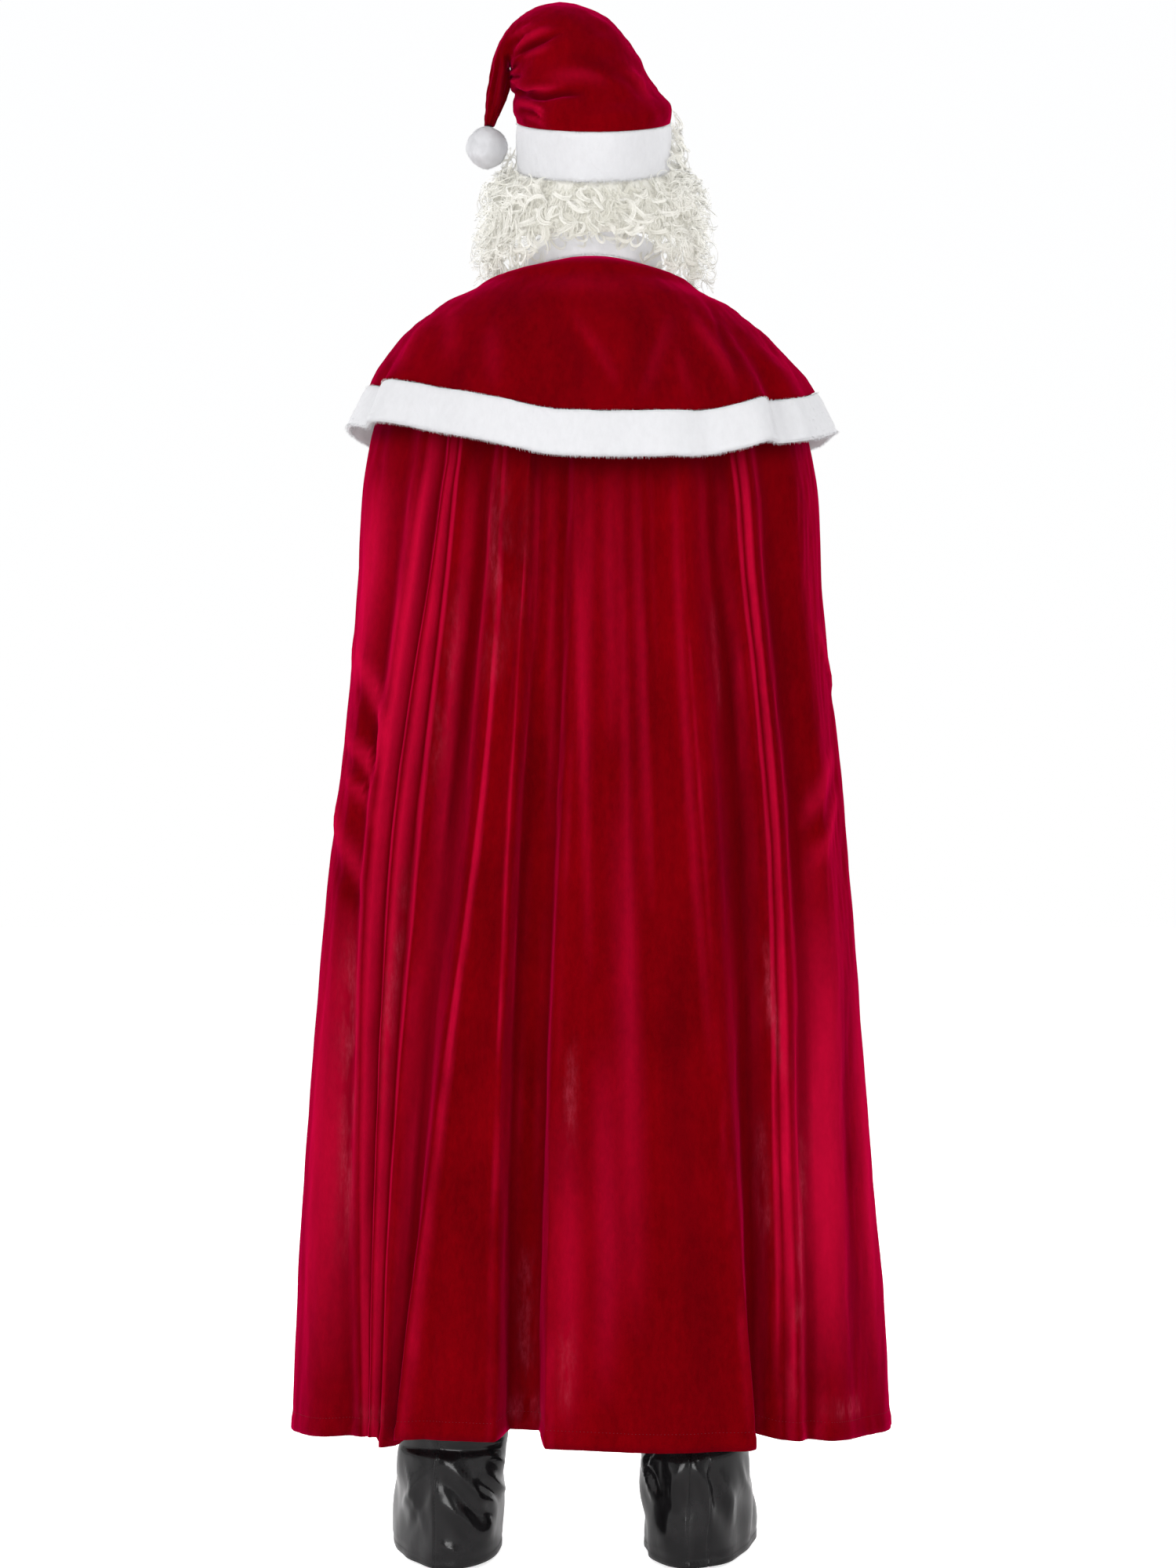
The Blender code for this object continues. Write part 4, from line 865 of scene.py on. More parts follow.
def band_mesh(name, start, across, down, thickness, height, steps=26):
    """A closed mesh lofted through a band's rounded section at each of its stations."""
    swing = np.linspace(0, 2 * math.pi, steps, endpoint=False)
    out = np.sign(np.cos(swing)) * np.abs(np.cos(swing)) ** 0.62 * thickness / 2
    fall = height / 2 * (1 - np.sign(np.sin(swing)) * np.abs(np.sin(swing)) ** 0.42)
    grid = start + across * out[:, None, None] + down * fall[:, None, None]
    mesh = grid_mesh(name, np.concatenate((grid, grid[:1])))
    shell = bmesh.new()
    shell.from_mesh(mesh)
    bmesh.ops.remove_doubles(shell, verts=shell.verts, dist=WELD)
    bmesh.ops.holes_fill(shell, edges=[edge for edge in shell.edges if edge.is_boundary])
    bmesh.ops.recalc_face_normals(shell, faces=shell.faces)
    shell.to_mesh(mesh)
    shell.free()
    mesh.shade_smooth()
    return mesh


def nearest_of(points, spots):
    """Which of the points lies nearest to each spot."""
    tree = kdtree.KDTree(len(points))
    for k, point in enumerate(points):
        tree.insert(point, k)
    tree.balance()
    return np.array([tree.find(spot)[1] for spot in spots])


def blades(root, tip, side, width, outward):
    """Single-triangle blades that face outwards, as points and normals, 3 for each."""
    side = unit(side) * width / 2
    facing = np.einsum("ij,ij->i", np.cross(side, tip - root), outward)
    side *= np.where(facing < 0, -1.0, 1.0)[:, None]
    points = np.stack((root - side, root + side, tip), axis=1).reshape(-1, 3)
    return points, np.repeat(outward, 3, axis=0)


def pile_blades(mesh, count, length, width, lay, seed):
    """Blades all over a mesh; lay is the way they are combed at each of its points."""
    draw = np.random.default_rng(seed)
    mesh.calc_loop_triangles()
    corners = np.empty(len(mesh.loop_triangles) * 3, np.int32)
    mesh.loop_triangles.foreach_get("vertices", corners)
    corners = corners.reshape(-1, 3)
    points = vertex_array(mesh)
    a, b, c = (points[corners[:, k]] for k in range(3))
    area = np.linalg.norm(np.cross(b - a, c - a), axis=1)
    chosen = corners[draw.choice(len(corners), count, p=area / area.sum())]
    u = draw.random((count, 1))
    v = draw.random((count, 1))
    u, v = np.where(u + v > 1, 1 - u, u), np.where(u + v > 1, 1 - v, v)

    def blend(values):
        return (values[chosen[:, 0]] * (1 - u - v) + values[chosen[:, 1]] * u
                + values[chosen[:, 2]] * v)

    root = blend(points)
    normal = unit(blend(read_vectors(mesh.vertex_normals, "vector")))
    heading = unit(normal * 0.32 + blend(lay) + draw.normal(size=(count, 3)) * 0.15)
    tip = root + heading * (length * draw.uniform(0.55, 1.1, (count, 1)))
    heads = draw.choice(count, max(int(area.sum() / 2 / TUFT ** 2), 4), replace=False)
    nearest = heads[nearest_of(root[heads], root)]
    tip += (tip[nearest] - tip) * CLUMP * draw.uniform(0.3, 1.0, (count, 1))
    side = np.cross(heading, normal + draw.normal(size=(count, 3)) * 0.25)
    return blades(root - normal * length * 0.05, tip, side, width, normal)


def fringe_blades(start, across, down, thickness, height, spacing, length, width, seed):
    """Longer pile in small tufts along the edge that is the given height down."""
    draw = np.random.default_rng(seed)
    edge = start + down * height
    run = run_along(edge)
    count = int(run[-1] / spacing)
    at = draw.uniform(0, run[-1], count)
    ahead = unit(read_along(np.gradient(edge, axis=0), run, at))
    outward = read_along(across, run, at)
    fall = read_along(down, run, at) * np.sign(height - thickness / 2)
    place = draw.uniform(-0.42, 0.42, (count, 1))
    root = read_along(edge, run, at) + outward * place * thickness - fall * 0.002
    heading = (fall + outward * (place * 0.9 + draw.normal(size=(count, 1)) * 0.15)
               + ahead * draw.normal(size=(count, 1)) * 0.18)
    gather = (np.round(at / FRINGE_TUFT) * FRINGE_TUFT - at)[:, None] * ahead * 0.65
    tip = root + heading * length * draw.uniform(0.6, 1.15, (count, 1)) + gather
    side = np.cross(heading, outward + draw.normal(size=(count, 3)) * 0.4)
    return blades(root, tip, side, width, outward)


def plush_mesh(name, base, piles):
    """The base and its pile in one mesh, the blades shaded like the surface they leave."""
    points = np.concatenate([vertex_array(base)] + [pile[0] for pile in piles])
    normals = np.concatenate([read_vectors(base.vertex_normals, "vector")]
                             + [pile[1] for pile in piles])
    faces = [tuple(face.vertices) for face in base.polygons]
    faces += np.arange(len(base.vertices), len(points)).reshape(-1, 3).tolist()
    mesh = new_mesh(name, points, faces)
    mesh.normals_split_custom_set_from_vertices(normals.tolist())
    bpy.data.meshes.remove(base)
    return mesh


def plush_band(name, start, across, down, thickness, height, seed, node, look="plush",
               comb=1.0):
    """A plush band lofted through its stations, with pile all over it."""
    look = look_of(look)
    across, down = (np.broadcast_to(way, start.shape) for way in (across, down))
    core = thickness - 2 * look.pile_length * 0.45
    inset = look.pile_length * 0.35
    base = band_mesh(name + "_base", start + down * inset, across, down, core,
                     height - 2 * inset)
    push_out(base, wobble(vertex_array(base), 0.03, seed) * PLUSH_UNEVEN
             + wobble(vertex_array(base), 0.012, seed + 1) * PLUSH_UNEVEN * 0.4)
    middle = start + down * height / 2
    lay = down[nearest_of(middle, vertex_array(base))] * comb
    girth = run_along(middle)[-1]
    count = int(girth * (2 * height + 2 * thickness) * look.pile_density * 1e6)
    piles = [pile_blades(base, count, look.pile_length, look.pile_width, lay, seed)]
    piles += [fringe_blades(start, across, down, thickness, edge, look.fringe_spacing,
                            share * look.pile_length * 1.6, look.pile_width, seed + 5)
              for edge, share in ((height - inset, 1.0), (inset, 0.6))]
    mesh = plush_mesh(name, base, piles)
    return add_piece(mesh, finish_plush("white_plush", PLUSH_GLOW), "plush", node)


# ---- Finishes ----
def feed(tree, socket, value):
    """Link a socket to another, or set it; a colour is given without its alpha."""
    if isinstance(value, bpy.types.NodeSocket):
        tree.links.new(value, socket)
    else:
        socket.default_value = (*value, 1) if socket.type == "RGBA" else value


def wire(tree, node, **sockets):
    """Feed a node's inputs, named with _ for each space."""
    for name, value in sockets.items():
        feed(tree, node.inputs[name.replace("_", " ")], value)
    return node


def add_node(tree, kind, **sockets):
    return wire(tree, tree.nodes.new("ShaderNode" + kind), **sockets)


def made_once(build):
    """Has a finish built only once for each name, which is what it is asked for by."""
    def fetch(name, *details):
        return bpy.data.materials.get(name) or build(name, *details)
    return fetch


def start_finish(name, **sockets):
    """A new finish with constants on its shader, and its node tree and shader."""
    material = bpy.data.materials.new(name)
    material.use_nodes = True
    tree = material.node_tree
    return material, tree, wire(tree, tree.nodes["Principled BSDF"], **sockets)


def grain(tree, size, detail=2.0, upright=1.0, roughness=0.55, distortion=0.0):
    """Noise with lumps of about the given size; a small upright share makes them tall."""
    place = add_node(tree, "TexCoord").outputs["Object"]
    place = add_node(tree, "Mapping", Vector=place, Scale=(1, 1, upright)).outputs["Vector"]
    return add_node(tree, "TexNoise", Vector=place, Scale=1 / size, Detail=detail,
                    Roughness=roughness, Distortion=distortion).outputs["Fac"]


def spread(tree, value, low, high, to_low=0.0, to_high=1.0):
    """The value stretched from one range to another and held at its ends."""
    return add_node(tree, "MapRange", Value=value, From_Min=low, From_Max=high,
                    To_Min=to_low, To_Max=to_high).outputs["Result"]


def combine(tree, kind, first, second):
    """Arithmetic on two values, either of which may be a number."""
    node = tree.nodes.new("ShaderNodeMath")
    node.operation = kind
    feed(tree, node.inputs[0], first)
    feed(tree, node.inputs[1], second)
    return node.outputs["Value"]


def tint(tree, share, low, high):
    """A colour between two, by a share; either colour may be a link."""
    node = tree.nodes.new("ShaderNodeMix")
    node.data_type = "RGBA"
    for socket, value in ((0, share), (6, low), (7, high)):
        feed(tree, node.inputs[socket], value)
    return node.outputs[2]


def emboss(tree, height, strength, distance, before=None):
    """A bump whose normal follows the height, laid over another bump."""
    node = add_node(tree, "Bump", Height=height, Strength=strength, Distance=distance)
    if before is not None:
        wire(tree, node, Normal=before)
    return node.outputs["Normal"]


def scaled(colour, share):
    return tuple(channel * share for channel in colour)


def named_share(tree, name):
    node = tree.nodes.new("ShaderNodeAttribute")
    node.attribute_name = name
    return node.outputs["Fac"]


@made_once
def finish_velvet(name):
    """Deep red stretch velvet: random nap tone, streaks and worn bands, with painted fold
    shade and painted sheen.
    """
    look = look_of("velvet")
    material, tree, shader = start_finish(
        name, Sheen_Weight=look.sheen, Sheen_Roughness=0.42,
        Sheen_Tint=look.sheen_colour, Specular_IOR_Level=0.0)
    brushed = grain(tree, 0.085, 3.0, 0.45, 0.6)
    streaks = grain(tree, 0.011, 2.0, 0.055, 0.6)
    mottle = grain(tree, 0.0065, 3.0, 0.5, 0.7)
    lie = combine(tree, "ADD", combine(tree, "MULTIPLY", brushed, 0.55),
                  combine(tree, "ADD", combine(tree, "MULTIPLY", streaks, 0.12),
                          combine(tree, "MULTIPLY", mottle, 0.33)))
    colour = tint(tree, spread(tree, lie, 0.36, 0.64), scaled(look.colour, 0.68),
                  scaled(look.colour, 1.2))
    # Painted sheen: lighter towards the sheen zone colour on the side zones, fold flanks and
    # crease ridges, broken up by the nap noise.
    sheen_share = combine(tree, "MULTIPLY", named_share(tree, "brushed"),
                        spread(tree, lie, 0.3, 0.7, 0.65, 1.0))
    colour = tint(tree, sheen_share, colour, look.sheen_zone_colour)
    # Painted shade: darker towards the fold shade colour in fold bottoms, crease troughs and
    # under the band.
    colour = tint(tree, named_share(tree, "hollow"), colour, look.hollow_colour)
    fleck = grain(tree, 0.003, 3.0, 0.3, 0.75)
    patch = grain(tree, 0.018, 2.0, 0.3, 0.6)
    thin = combine(tree, "MULTIPLY", named_share(tree, "wear"),
                   combine(tree, "MULTIPLY", spread(tree, patch, 0.38, 0.66),
                           spread(tree, fleck, 0.4, 0.68, 0.25, 1.0)))
    crushed = emboss(tree, brushed, 0.25, 0.004)
    streaked = emboss(tree, streaks, 0.16, 0.0012, crushed)
    wire(tree, shader, Base_Color=tint(tree, thin, colour, look.worn_colour),
         Roughness=spread(tree, lie, 0.35, 0.65, 0.86, 0.66),
         Normal=emboss(tree, grain(tree, 0.0011, 2.0), 0.35, 0.0004, streaked))
    return material


@made_once
def finish_plush(name, glow):
    """White short-pile plush with painted shade a touch greyer where its tuft bump is low,
    and a painted glow from its emission.
    """
    look = look_of("plush")
    # The emission is a painted glow that lifts the pile's shade; the plush is no lamp.
    material, tree, shader = start_finish(
        name, Sheen_Weight=0.15, Sheen_Roughness=0.5, Specular_IOR_Level=0.05,
        Roughness=0.95, Emission_Color=look.colour, Emission_Strength=glow)
    tufts = grain(tree, 0.007, 3.0, 0.5, 0.6)
    ribs = emboss(tree, grain(tree, 0.004, 1.0, 0.1), 0.3, 0.0008)
    combed = emboss(tree, grain(tree, 0.0013, 2.0, 0.4), 0.5, 0.0006, ribs)
    # Painted shade: the base colour is a touch greyer where the tuft bump is low.
    wire(tree, shader, Normal=emboss(tree, tufts, 0.25, 0.0015, combed),
         Base_Color=tint(tree, spread(tree, tufts, 0.35, 0.65), scaled(look.colour, 0.96),
                         look.colour))
    return material


@made_once
def finish_curls(name):
    """Cream-white synthetic hair with a soft gloss; each lock has its own tone, and a painted
    glow from its emission lifts the shade between the locks.
    """
    look = look_of("curls")
    # The emission is a painted glow that lifts the shade inside the wig; the hair is no lamp.
    material, tree, shader = start_finish(
        name, Specular_IOR_Level=0.45, Sheen_Weight=0.15, Roughness=0.38,
        Emission_Color=look.colour, Emission_Strength=0.16)
    tone = combine(tree, "ADD", combine(tree, "MULTIPLY", named_share(tree, "tone"), 0.7),
                   combine(tree, "MULTIPLY", grain(tree, 0.004, 2.0), 0.3))
    wire(tree, shader, Base_Color=tint(tree, tone, look.shade_colour, look.colour),
         Normal=emboss(tree, grain(tree, 0.0007, 1.0), 0.25, 0.0003))
    return material


@made_once
def finish_leather(name):
    """Black faux leather: a glossy skin over fine grain and soft wrinkles."""
    look = look_of("leather")
    material, tree, shader = start_finish(name, Specular_IOR_Level=0.32)
    worn = grain(tree, 0.03, 3.0, 0.7, 0.6)
    puckers = emboss(tree, grain(tree, 0.03, 2.0, 0.8, 0.5, 0.6), 0.18, 0.003)
    place = add_node(tree, "TexCoord").outputs["Object"]
    cells = add_node(tree, "TexVoronoi", Scale=900, Vector=place).outputs["Distance"]
    wire(tree, shader, Normal=emboss(tree, cells, 0.1, 0.0003, puckers),
         Base_Color=tint(tree, spread(tree, worn, 0.4, 0.7), look.colour,
                         scaled(look.colour, 1.9)),
         Roughness=spread(tree, worn, 0.3, 0.7, look.roughness, look.roughness + 0.1))
    return material


@made_once
def finish_thread(name, colour):
    """Matt sewing thread."""
    material, tree, shader = start_finish(name, Roughness=0.7, Specular_IOR_Level=0.3)
    wire(tree, shader, Base_Color=tint(tree, grain(tree, 0.0009, 1.0), scaled(colour, 0.6),
                                       colour))
    return material


@made_once
def finish_brass(name):
    """Brushed pale brass; its tone and gloss vary in random patches."""
    material, tree, shader = start_finish(name, Metallic=1.0)
    dull = grain(tree, 0.012, 3.0)
    wire(tree, shader, Base_Color=tint(tree, dull, (0.55, 0.38, 0.14), (0.83, 0.62, 0.27)),
         Roughness=spread(tree, dull, 0.3, 0.7, 0.18, 0.32),
         Normal=emboss(tree, grain(tree, 0.0012, 2.0, 14), 0.25, 0.0002))
    return material


# ---- Cloak ----
def cloak_fold_lines(heights):
    """Angle and outward stand of every fold line at every height."""
    angles = np.array([smooth_read(FOLD_HEIGHTS, row[:4], heights) for row in CLOAK_FOLDS])
    outs = np.array([smooth_read(DEPTH_HEIGHTS, row[4:], heights) for row in CLOAK_FOLDS])
    fade = smoothstep((FOLD_FADE[0] - heights) / (FOLD_FADE[0] - FOLD_FADE[1]))
    return angles, outs / 1000 * fade


def cloak_surface(angle, height):
    """Points of the cloak's outer face by angle and height, without its creases."""
    lines, outs = cloak_fold_lines(height)
    out = np.empty_like(angle)
    for k in range(len(angle)):
        keys = lines[::-1, k]
        at = np.searchsorted(keys, angle[k]).clip(1, len(keys) - 1)
        share = (angle[k] - keys[at - 1]) / (keys[at] - keys[at - 1])
        values = outs[::-1, k]
        out[k] = values[at - 1] + (values[at] - values[at - 1]) * smoothstep(share)
    *sizes, drop = read_table(CLOAK_SECTIONS, height)
    points, _ = oval(angle, *sizes, out)
    return at_height(points, height - drop * front_share(angle))


def cloak_grid():
    """The cloak's fine surface, with the angle, height and hem's height of its points."""
    lines, outs = cloak_fold_lines(CLOAK_HEIGHTS)
    sizes = read_table(CLOAK_SECTIONS, CLOAK_HEIGHTS)
    foot, _ = oval(lines[:, -1], *[size[-1] for size in sizes[:4]], outs[:, -1])
    angles, stands = [], []
    for fold, width in enumerate(np.linalg.norm(np.diff(foot, axis=0), axis=1)):
        steps = int(np.clip(round(width / CLOAK_COLUMN), 3, 14))
        for share in np.arange(steps) / steps:
            angles.append(lines[fold] + (lines[fold + 1] - lines[fold]) * share)
            stands.append(outs[fold] + (outs[fold + 1] - outs[fold]) * smoothstep(share))
    angles = np.array(angles + [lines[-1]])[::-1].T
    stands = np.array(stands + [outs[-1]])[::-1].T
    level = np.repeat(CLOAK_HEIGHTS[:, None], angles.shape[1], axis=1)
    *sizes, drop = [size[:, None] for size in sizes]
    points, _ = oval(angles, *sizes, stands)
    hem = np.interp(angles, *np.array(CLOAK_HEM).T)
    fall = np.clip((FALL_TOP - level) / (FALL_TOP - CLOAK_HEIGHTS[-1]), 0, 1)
    height = level + (hem - CLOAK_HEIGHTS[-1]) * fall
    return at_height(points, height - drop * front_share(angles)), angles, height, hem


def build_cloak():
    grid, angles, height, hem = cloak_grid()
    normals = grid_normals(grid)
    flat = grid.reshape(-1, 3)
    above = (height - hem).reshape(-1)
    creases, wear, brushed = (relief(flat, crease_paths(table, cloak_surface, MM))
                              for table in (CLOAK_CREASES, CLOAK_WEAR, CLOAK_SHEEN_ZONES))
    push = creases + 0.0011 * wobble(flat, (0.055, 0.055, 0.3), 11)
    push += 0.0004 * wobble(flat, (0.016, 0.016, 0.07), 12)
    pucker = 0.0003 * wobble(flat, (0.011, 0.011, 0.4), 13)
    push += (HEM_LIFT * smoothstep((HEM_FOLD + HEM_EASE - above) / 0.004)
             + pucker * smoothstep((PUCKER_TOP - above) / 0.03))
    push -= HEM_DENT * np.exp(-((above - HEM_FOLD - HEM_EASE) / 0.0028) ** 2)
    push *= smoothstep((CLOAK_SMOOTH_TOP - height.reshape(-1)) / 0.06)
    grid = grid + normals * push.reshape(*height.shape, 1)
    # Painted light: fold bottoms and crease troughs get painted shade, steep flanks and
    # crease ridges painted sheen, and the capelet's band a painted shadow below it.
    hollow, flank = fold_light_shares(grid, False, 5, 0.005)
    band_foot = (np.interp(angles, *np.array(CAPELET_FOLDS)[::-1, :2].T)
                 - TRIM_HEIGHT * math.cos(math.radians(TRIM_LEAN_BACK)))
    dark, reach = BAND_SHADE
    shaded = dark * np.exp(-np.maximum(band_foot - height, 0).reshape(-1) / reach)
    cloak = velvet_piece(
        grid_mesh("cloak_velvet", grid), "cloak", wear=np.clip(wear / MM, 0, 1),
        hollow=np.clip(hollow * 0.6 - creases / CREASE_PAINT_DEPTH, shaded, 0.95),
        brushed=np.clip(brushed / MM + flank * 0.75 + creases / CREASE_PAINT_DEPTH, 0, 1))
    row = int(np.argmin(np.abs(CLOAK_HEIGHTS - CLOAK_HEIGHTS[-1] - HEM_FOLD)))
    seam = lay_stitches("cloak_hem_stitches", grid[row], normals[row],
                        finish_thread("red_thread", RED_THREAD), "velvet", *HEM_STITCH)


# ---- Capelet, its plush band and the collar ----
def capelet_surface(angle, down):
    """Points of the capelet's outer face and outward directions; down is 1 at the hem."""
    hem, out = read_table(CAPELET_FOLDS, angle)
    top = CAPELET_SECTIONS[0][0]
    height = top + (hem - top) * down
    points, outward = oval(angle, *read_table(CAPELET_SECTIONS, height),
                           out / 1000 * down ** 2)
    drop = CAPELET_DROP * (1 - down) ** 2 * front_share(angle)
    return at_height(points, height - drop), outward


def build_capelet():
    angles = np.linspace(-CAPELET_EDGE, CAPELET_EDGE, 240)
    across, level = np.meshgrid(angles, np.linspace(0, 1, 42))
    grid, _ = capelet_surface(across, level)
    flat, level = grid.reshape(-1, 3), level.reshape(-1)
    creases = relief(flat, crease_paths(CAPELET_CREASES,
                                        lambda a, d: capelet_surface(a, d)[0]))
    push = creases + 0.0009 * wobble(flat, (0.06, 0.06, 0.12), 21)
    push += 0.0003 * wobble(flat, (0.018, 0.018, 0.03), 22)
    push *= smoothstep(level / 0.15) * smoothstep((1.0 - level) / 0.06)
    # Painted shade in the crease troughs and painted sheen on their ridges.
    capelet = velvet_piece(grid_mesh("capelet_velvet", pushed(grid, push)), "capelet",
                           hollow=np.clip(-creases / 0.007, 0, 0.7),
                           brushed=np.clip(creases / 0.011, 0, 0.5))
    build_capelet_trim()
    build_collar()


def build_capelet_trim():
    """The plush band that hangs from the capelet's hem and leans outwards."""
    angles = np.linspace(-CAPELET_EDGE, CAPELET_EDGE, 260)
    edge, outward = capelet_surface(angles, np.ones_like(angles))
    side = np.sin(np.radians(angles)) ** 2
    lean = np.radians(TRIM_LEAN_BACK + (TRIM_LEAN_SIDE - TRIM_LEAN_BACK) * side)[:, None]
    down = outward * np.sin(lean) + DOWN * np.cos(lean)
    across = outward * np.cos(lean) - DOWN * np.sin(lean)
    start = edge - across * 0.001 + down * 0.0004
    return plush_band("capelet_plush_band", start, across, down, TRIM_PILE, TRIM_HEIGHT, 31,
                      "capelet_trim")


def build_collar():
    """Stand-up plush collar on the neck edge, open at the front."""
    angles = np.linspace(COLLAR_OPENING - 180, 180 - COLLAR_OPENING, 110)
    foot, outward = even_oval(angles, COLLAR_HALF_WIDTH - COLLAR_PILE / 2,
                              COLLAR_HALF_DEPTH - COLLAR_PILE / 2)
    neck = CAPELET_SECTIONS[0][0] + 0.0003 - CAPELET_DROP * front_share(angles)
    collar = plush_band("collar_plush", at_height(foot, neck + COLLAR_HEIGHT), outward, DOWN,
                        COLLAR_PILE, COLLAR_HEIGHT, 33, "collar", comb=-1.0)
    # The collar's own material glows more strongly: painted light that lifts the shade under
    # the wig.
    collar.data.materials[0] = finish_plush("white_collar_plush", COLLAR_GLOW)
    return collar


# ---- Hat ----
def head_points(points, tilt=HEAD_TILT):
    """Points of the tipped head's frame, whose origin is the band's foot, in the suit's."""
    seat = np.array(HAT_SEAT) - np.array((0, 0, NECK_HEIGHT))
    return turned_about_x(points, -tilt) + seat


def crown_surface(angle, ring):
    """Points of the hat's bag by angle and by ring, counted from the band."""
    x, y, height, half_width, half_depth, lean, tilt, tuck = read_table(
        CROWN_RINGS, ring, range(len(CROWN_RINGS)))
    swing = np.radians(angle)
    facing = np.maximum(0.0, np.cos(swing - math.radians(TUCK_ANGLE)))
    reach = 1 - tuck / half_depth * facing ** 3
    wide = half_width * np.sin(swing) * reach
    deep = half_depth * np.cos(swing) * reach
    lean = np.radians(lean)
    tilt = np.radians(-tilt)
    level = deep * np.sin(tilt)
    return np.stack((x + wide * np.cos(lean) + level * np.sin(lean),
                     y + deep * np.cos(tilt),
                     height - NECK_HEIGHT - wide * np.sin(lean) + level * np.cos(lean)),
                    axis=-1)


def build_hat_crown():
    angles = np.linspace(0, 360, 132, endpoint=False)
    across, level = np.meshgrid(angles, np.linspace(len(CROWN_RINGS) - 1, 0, 118))
    grid = crown_surface(across, level)
    flat, ring = grid.reshape(-1, 3), level.reshape(-1)
    creases = relief(flat, crease_paths(CROWN_CREASES, crown_surface)) * 1.4
    size = read_table(CROWN_RINGS, ring, range(len(CROWN_RINGS)))[4]
    push = creases + 0.012 * size * wobble(flat, (0.05, 0.05, 0.035), 41)
    push += 0.0003 * wobble(flat, 0.012, 42)
    gathers = np.cos(np.radians(across.reshape(-1)) * 9 + 0.6 * wobble(flat, 0.05, 43))
    push += gathers * size * 0.045 * smoothstep((ring - 8.5) / 2.0)
    grid = pushed(grid, push * smoothstep((ring - 0.05) / 0.5), True)
    # Painted light: fold bottoms and crease troughs get painted shade, steep flanks and
    # crease ridges painted sheen.
    hollow, flank = fold_light_shares(grid, True, 6, 0.003)
    crown = velvet_piece(grid_mesh("hat_velvet_bag", grid, closed=True), "hat_crown",
                         HAT_WALL_SHARE,
                         hollow=np.clip(hollow * 0.8 - creases / 0.0045, 0, 0.95),
                         brushed=np.clip(flank * 0.5 + creases / 0.0075, 0, 0.8))
    bobble = build_hat_bobble()
    build_hat_band()


def build_hat_band():
    foot, outward = even_oval(np.linspace(-180, 180, 150), BAND_HALF_WIDTH - BAND_PILE / 2,
                              BAND_HALF_DEPTH - BAND_PILE / 2)
    foot[:, 2] = BAND_HEIGHT
    return plush_band("hat_plush_band", head_points(foot),
                      turned_about_x(outward, -HEAD_TILT), turned_about_x(DOWN, -HEAD_TILT),
                      BAND_PILE, BAND_HEIGHT, 35, "hat_band")


def build_hat_bobble():
    x, y, height, _, _, lean = CROWN_RINGS[-1][:6]
    lean = math.radians(lean)
    reach = BOBBLE_RADIUS + 0.0003
    middle = Vector((x + math.sin(lean) * reach, y,
                     height + math.cos(lean) * reach - NECK_HEIGHT))
    base = made_shape("hat_bobble_base", bmesh.ops.create_icosphere, middle, subdivisions=4,
                      radius=BOBBLE_RADIUS - 0.0014)
    push_out(base, 0.0006 * wobble(vertex_array(base), 0.016, 37))
    out = vertex_array(base) - np.array(middle)
    swirl = np.cross(out, (0.35, 0.15, 1.0)) * 0.6 - np.cross(out, np.cross(
        out / BOBBLE_RADIUS, DOWN))
    pile = pile_blades(base, 8000, 0.003, look_of("plush").pile_width, unit(swirl) * 0.9, 38)
    return add_piece(plush_mesh("hat_plush_bobble", base, [pile]),
                     finish_plush("white_plush", PLUSH_GLOW), "plush", "hat_bobble")


# ---- Wig ----
def wig_surface(angle, fall):
    """Points and outward directions of the curls' outer face; fall is 1 at the ends."""
    rows = WIG_ROWS[CURL_ROW:]

    def place(at):
        up, half_width, half_depth, tilt = read_table(rows, at, np.linspace(0, 1, len(rows)))
        flat, outward = even_oval(angle, half_width, half_depth)
        lean = np.radians(tilt)
        points = np.stack((flat[..., 0] + HAT_SEAT.x,
                           flat[..., 1] * np.cos(lean) + up * np.sin(lean) + HAT_SEAT.y,
                           up * np.cos(lean) - flat[..., 1] * np.sin(lean)
                           + HAT_SEAT.z - NECK_HEIGHT), axis=-1)
        return points, outward

    points, outward = place(np.clip(fall, 0.0, 1.0))
    points[..., 2] += 0.1 * np.maximum(-fall, 0.0)
    ends, _ = place(np.ones_like(fall))
    [hem] = read_table(WIG_HEM, np.abs(angle))
    points[..., 2] += (hem - NECK_HEIGHT - ends[..., 2]) * np.minimum(fall, 1.0) ** 3
    points[..., 2] -= 0.1 * np.maximum(fall - 1.0, 0.0)
    return points, outward


def curl_axis(draw, angle, first, last, inset, steps):
    """The line that a lock of hair winds round, down the fall of the wig."""
    share = np.linspace(0, 1, steps)
    sway = draw.uniform(-13, 13) * share + draw.uniform(1, 4) * np.sin(
        share * draw.uniform(2, 6) + draw.uniform(0, 6))
    points, outward = wig_surface(angle + sway, first + (last - first) * share)
    return points - outward * inset, share


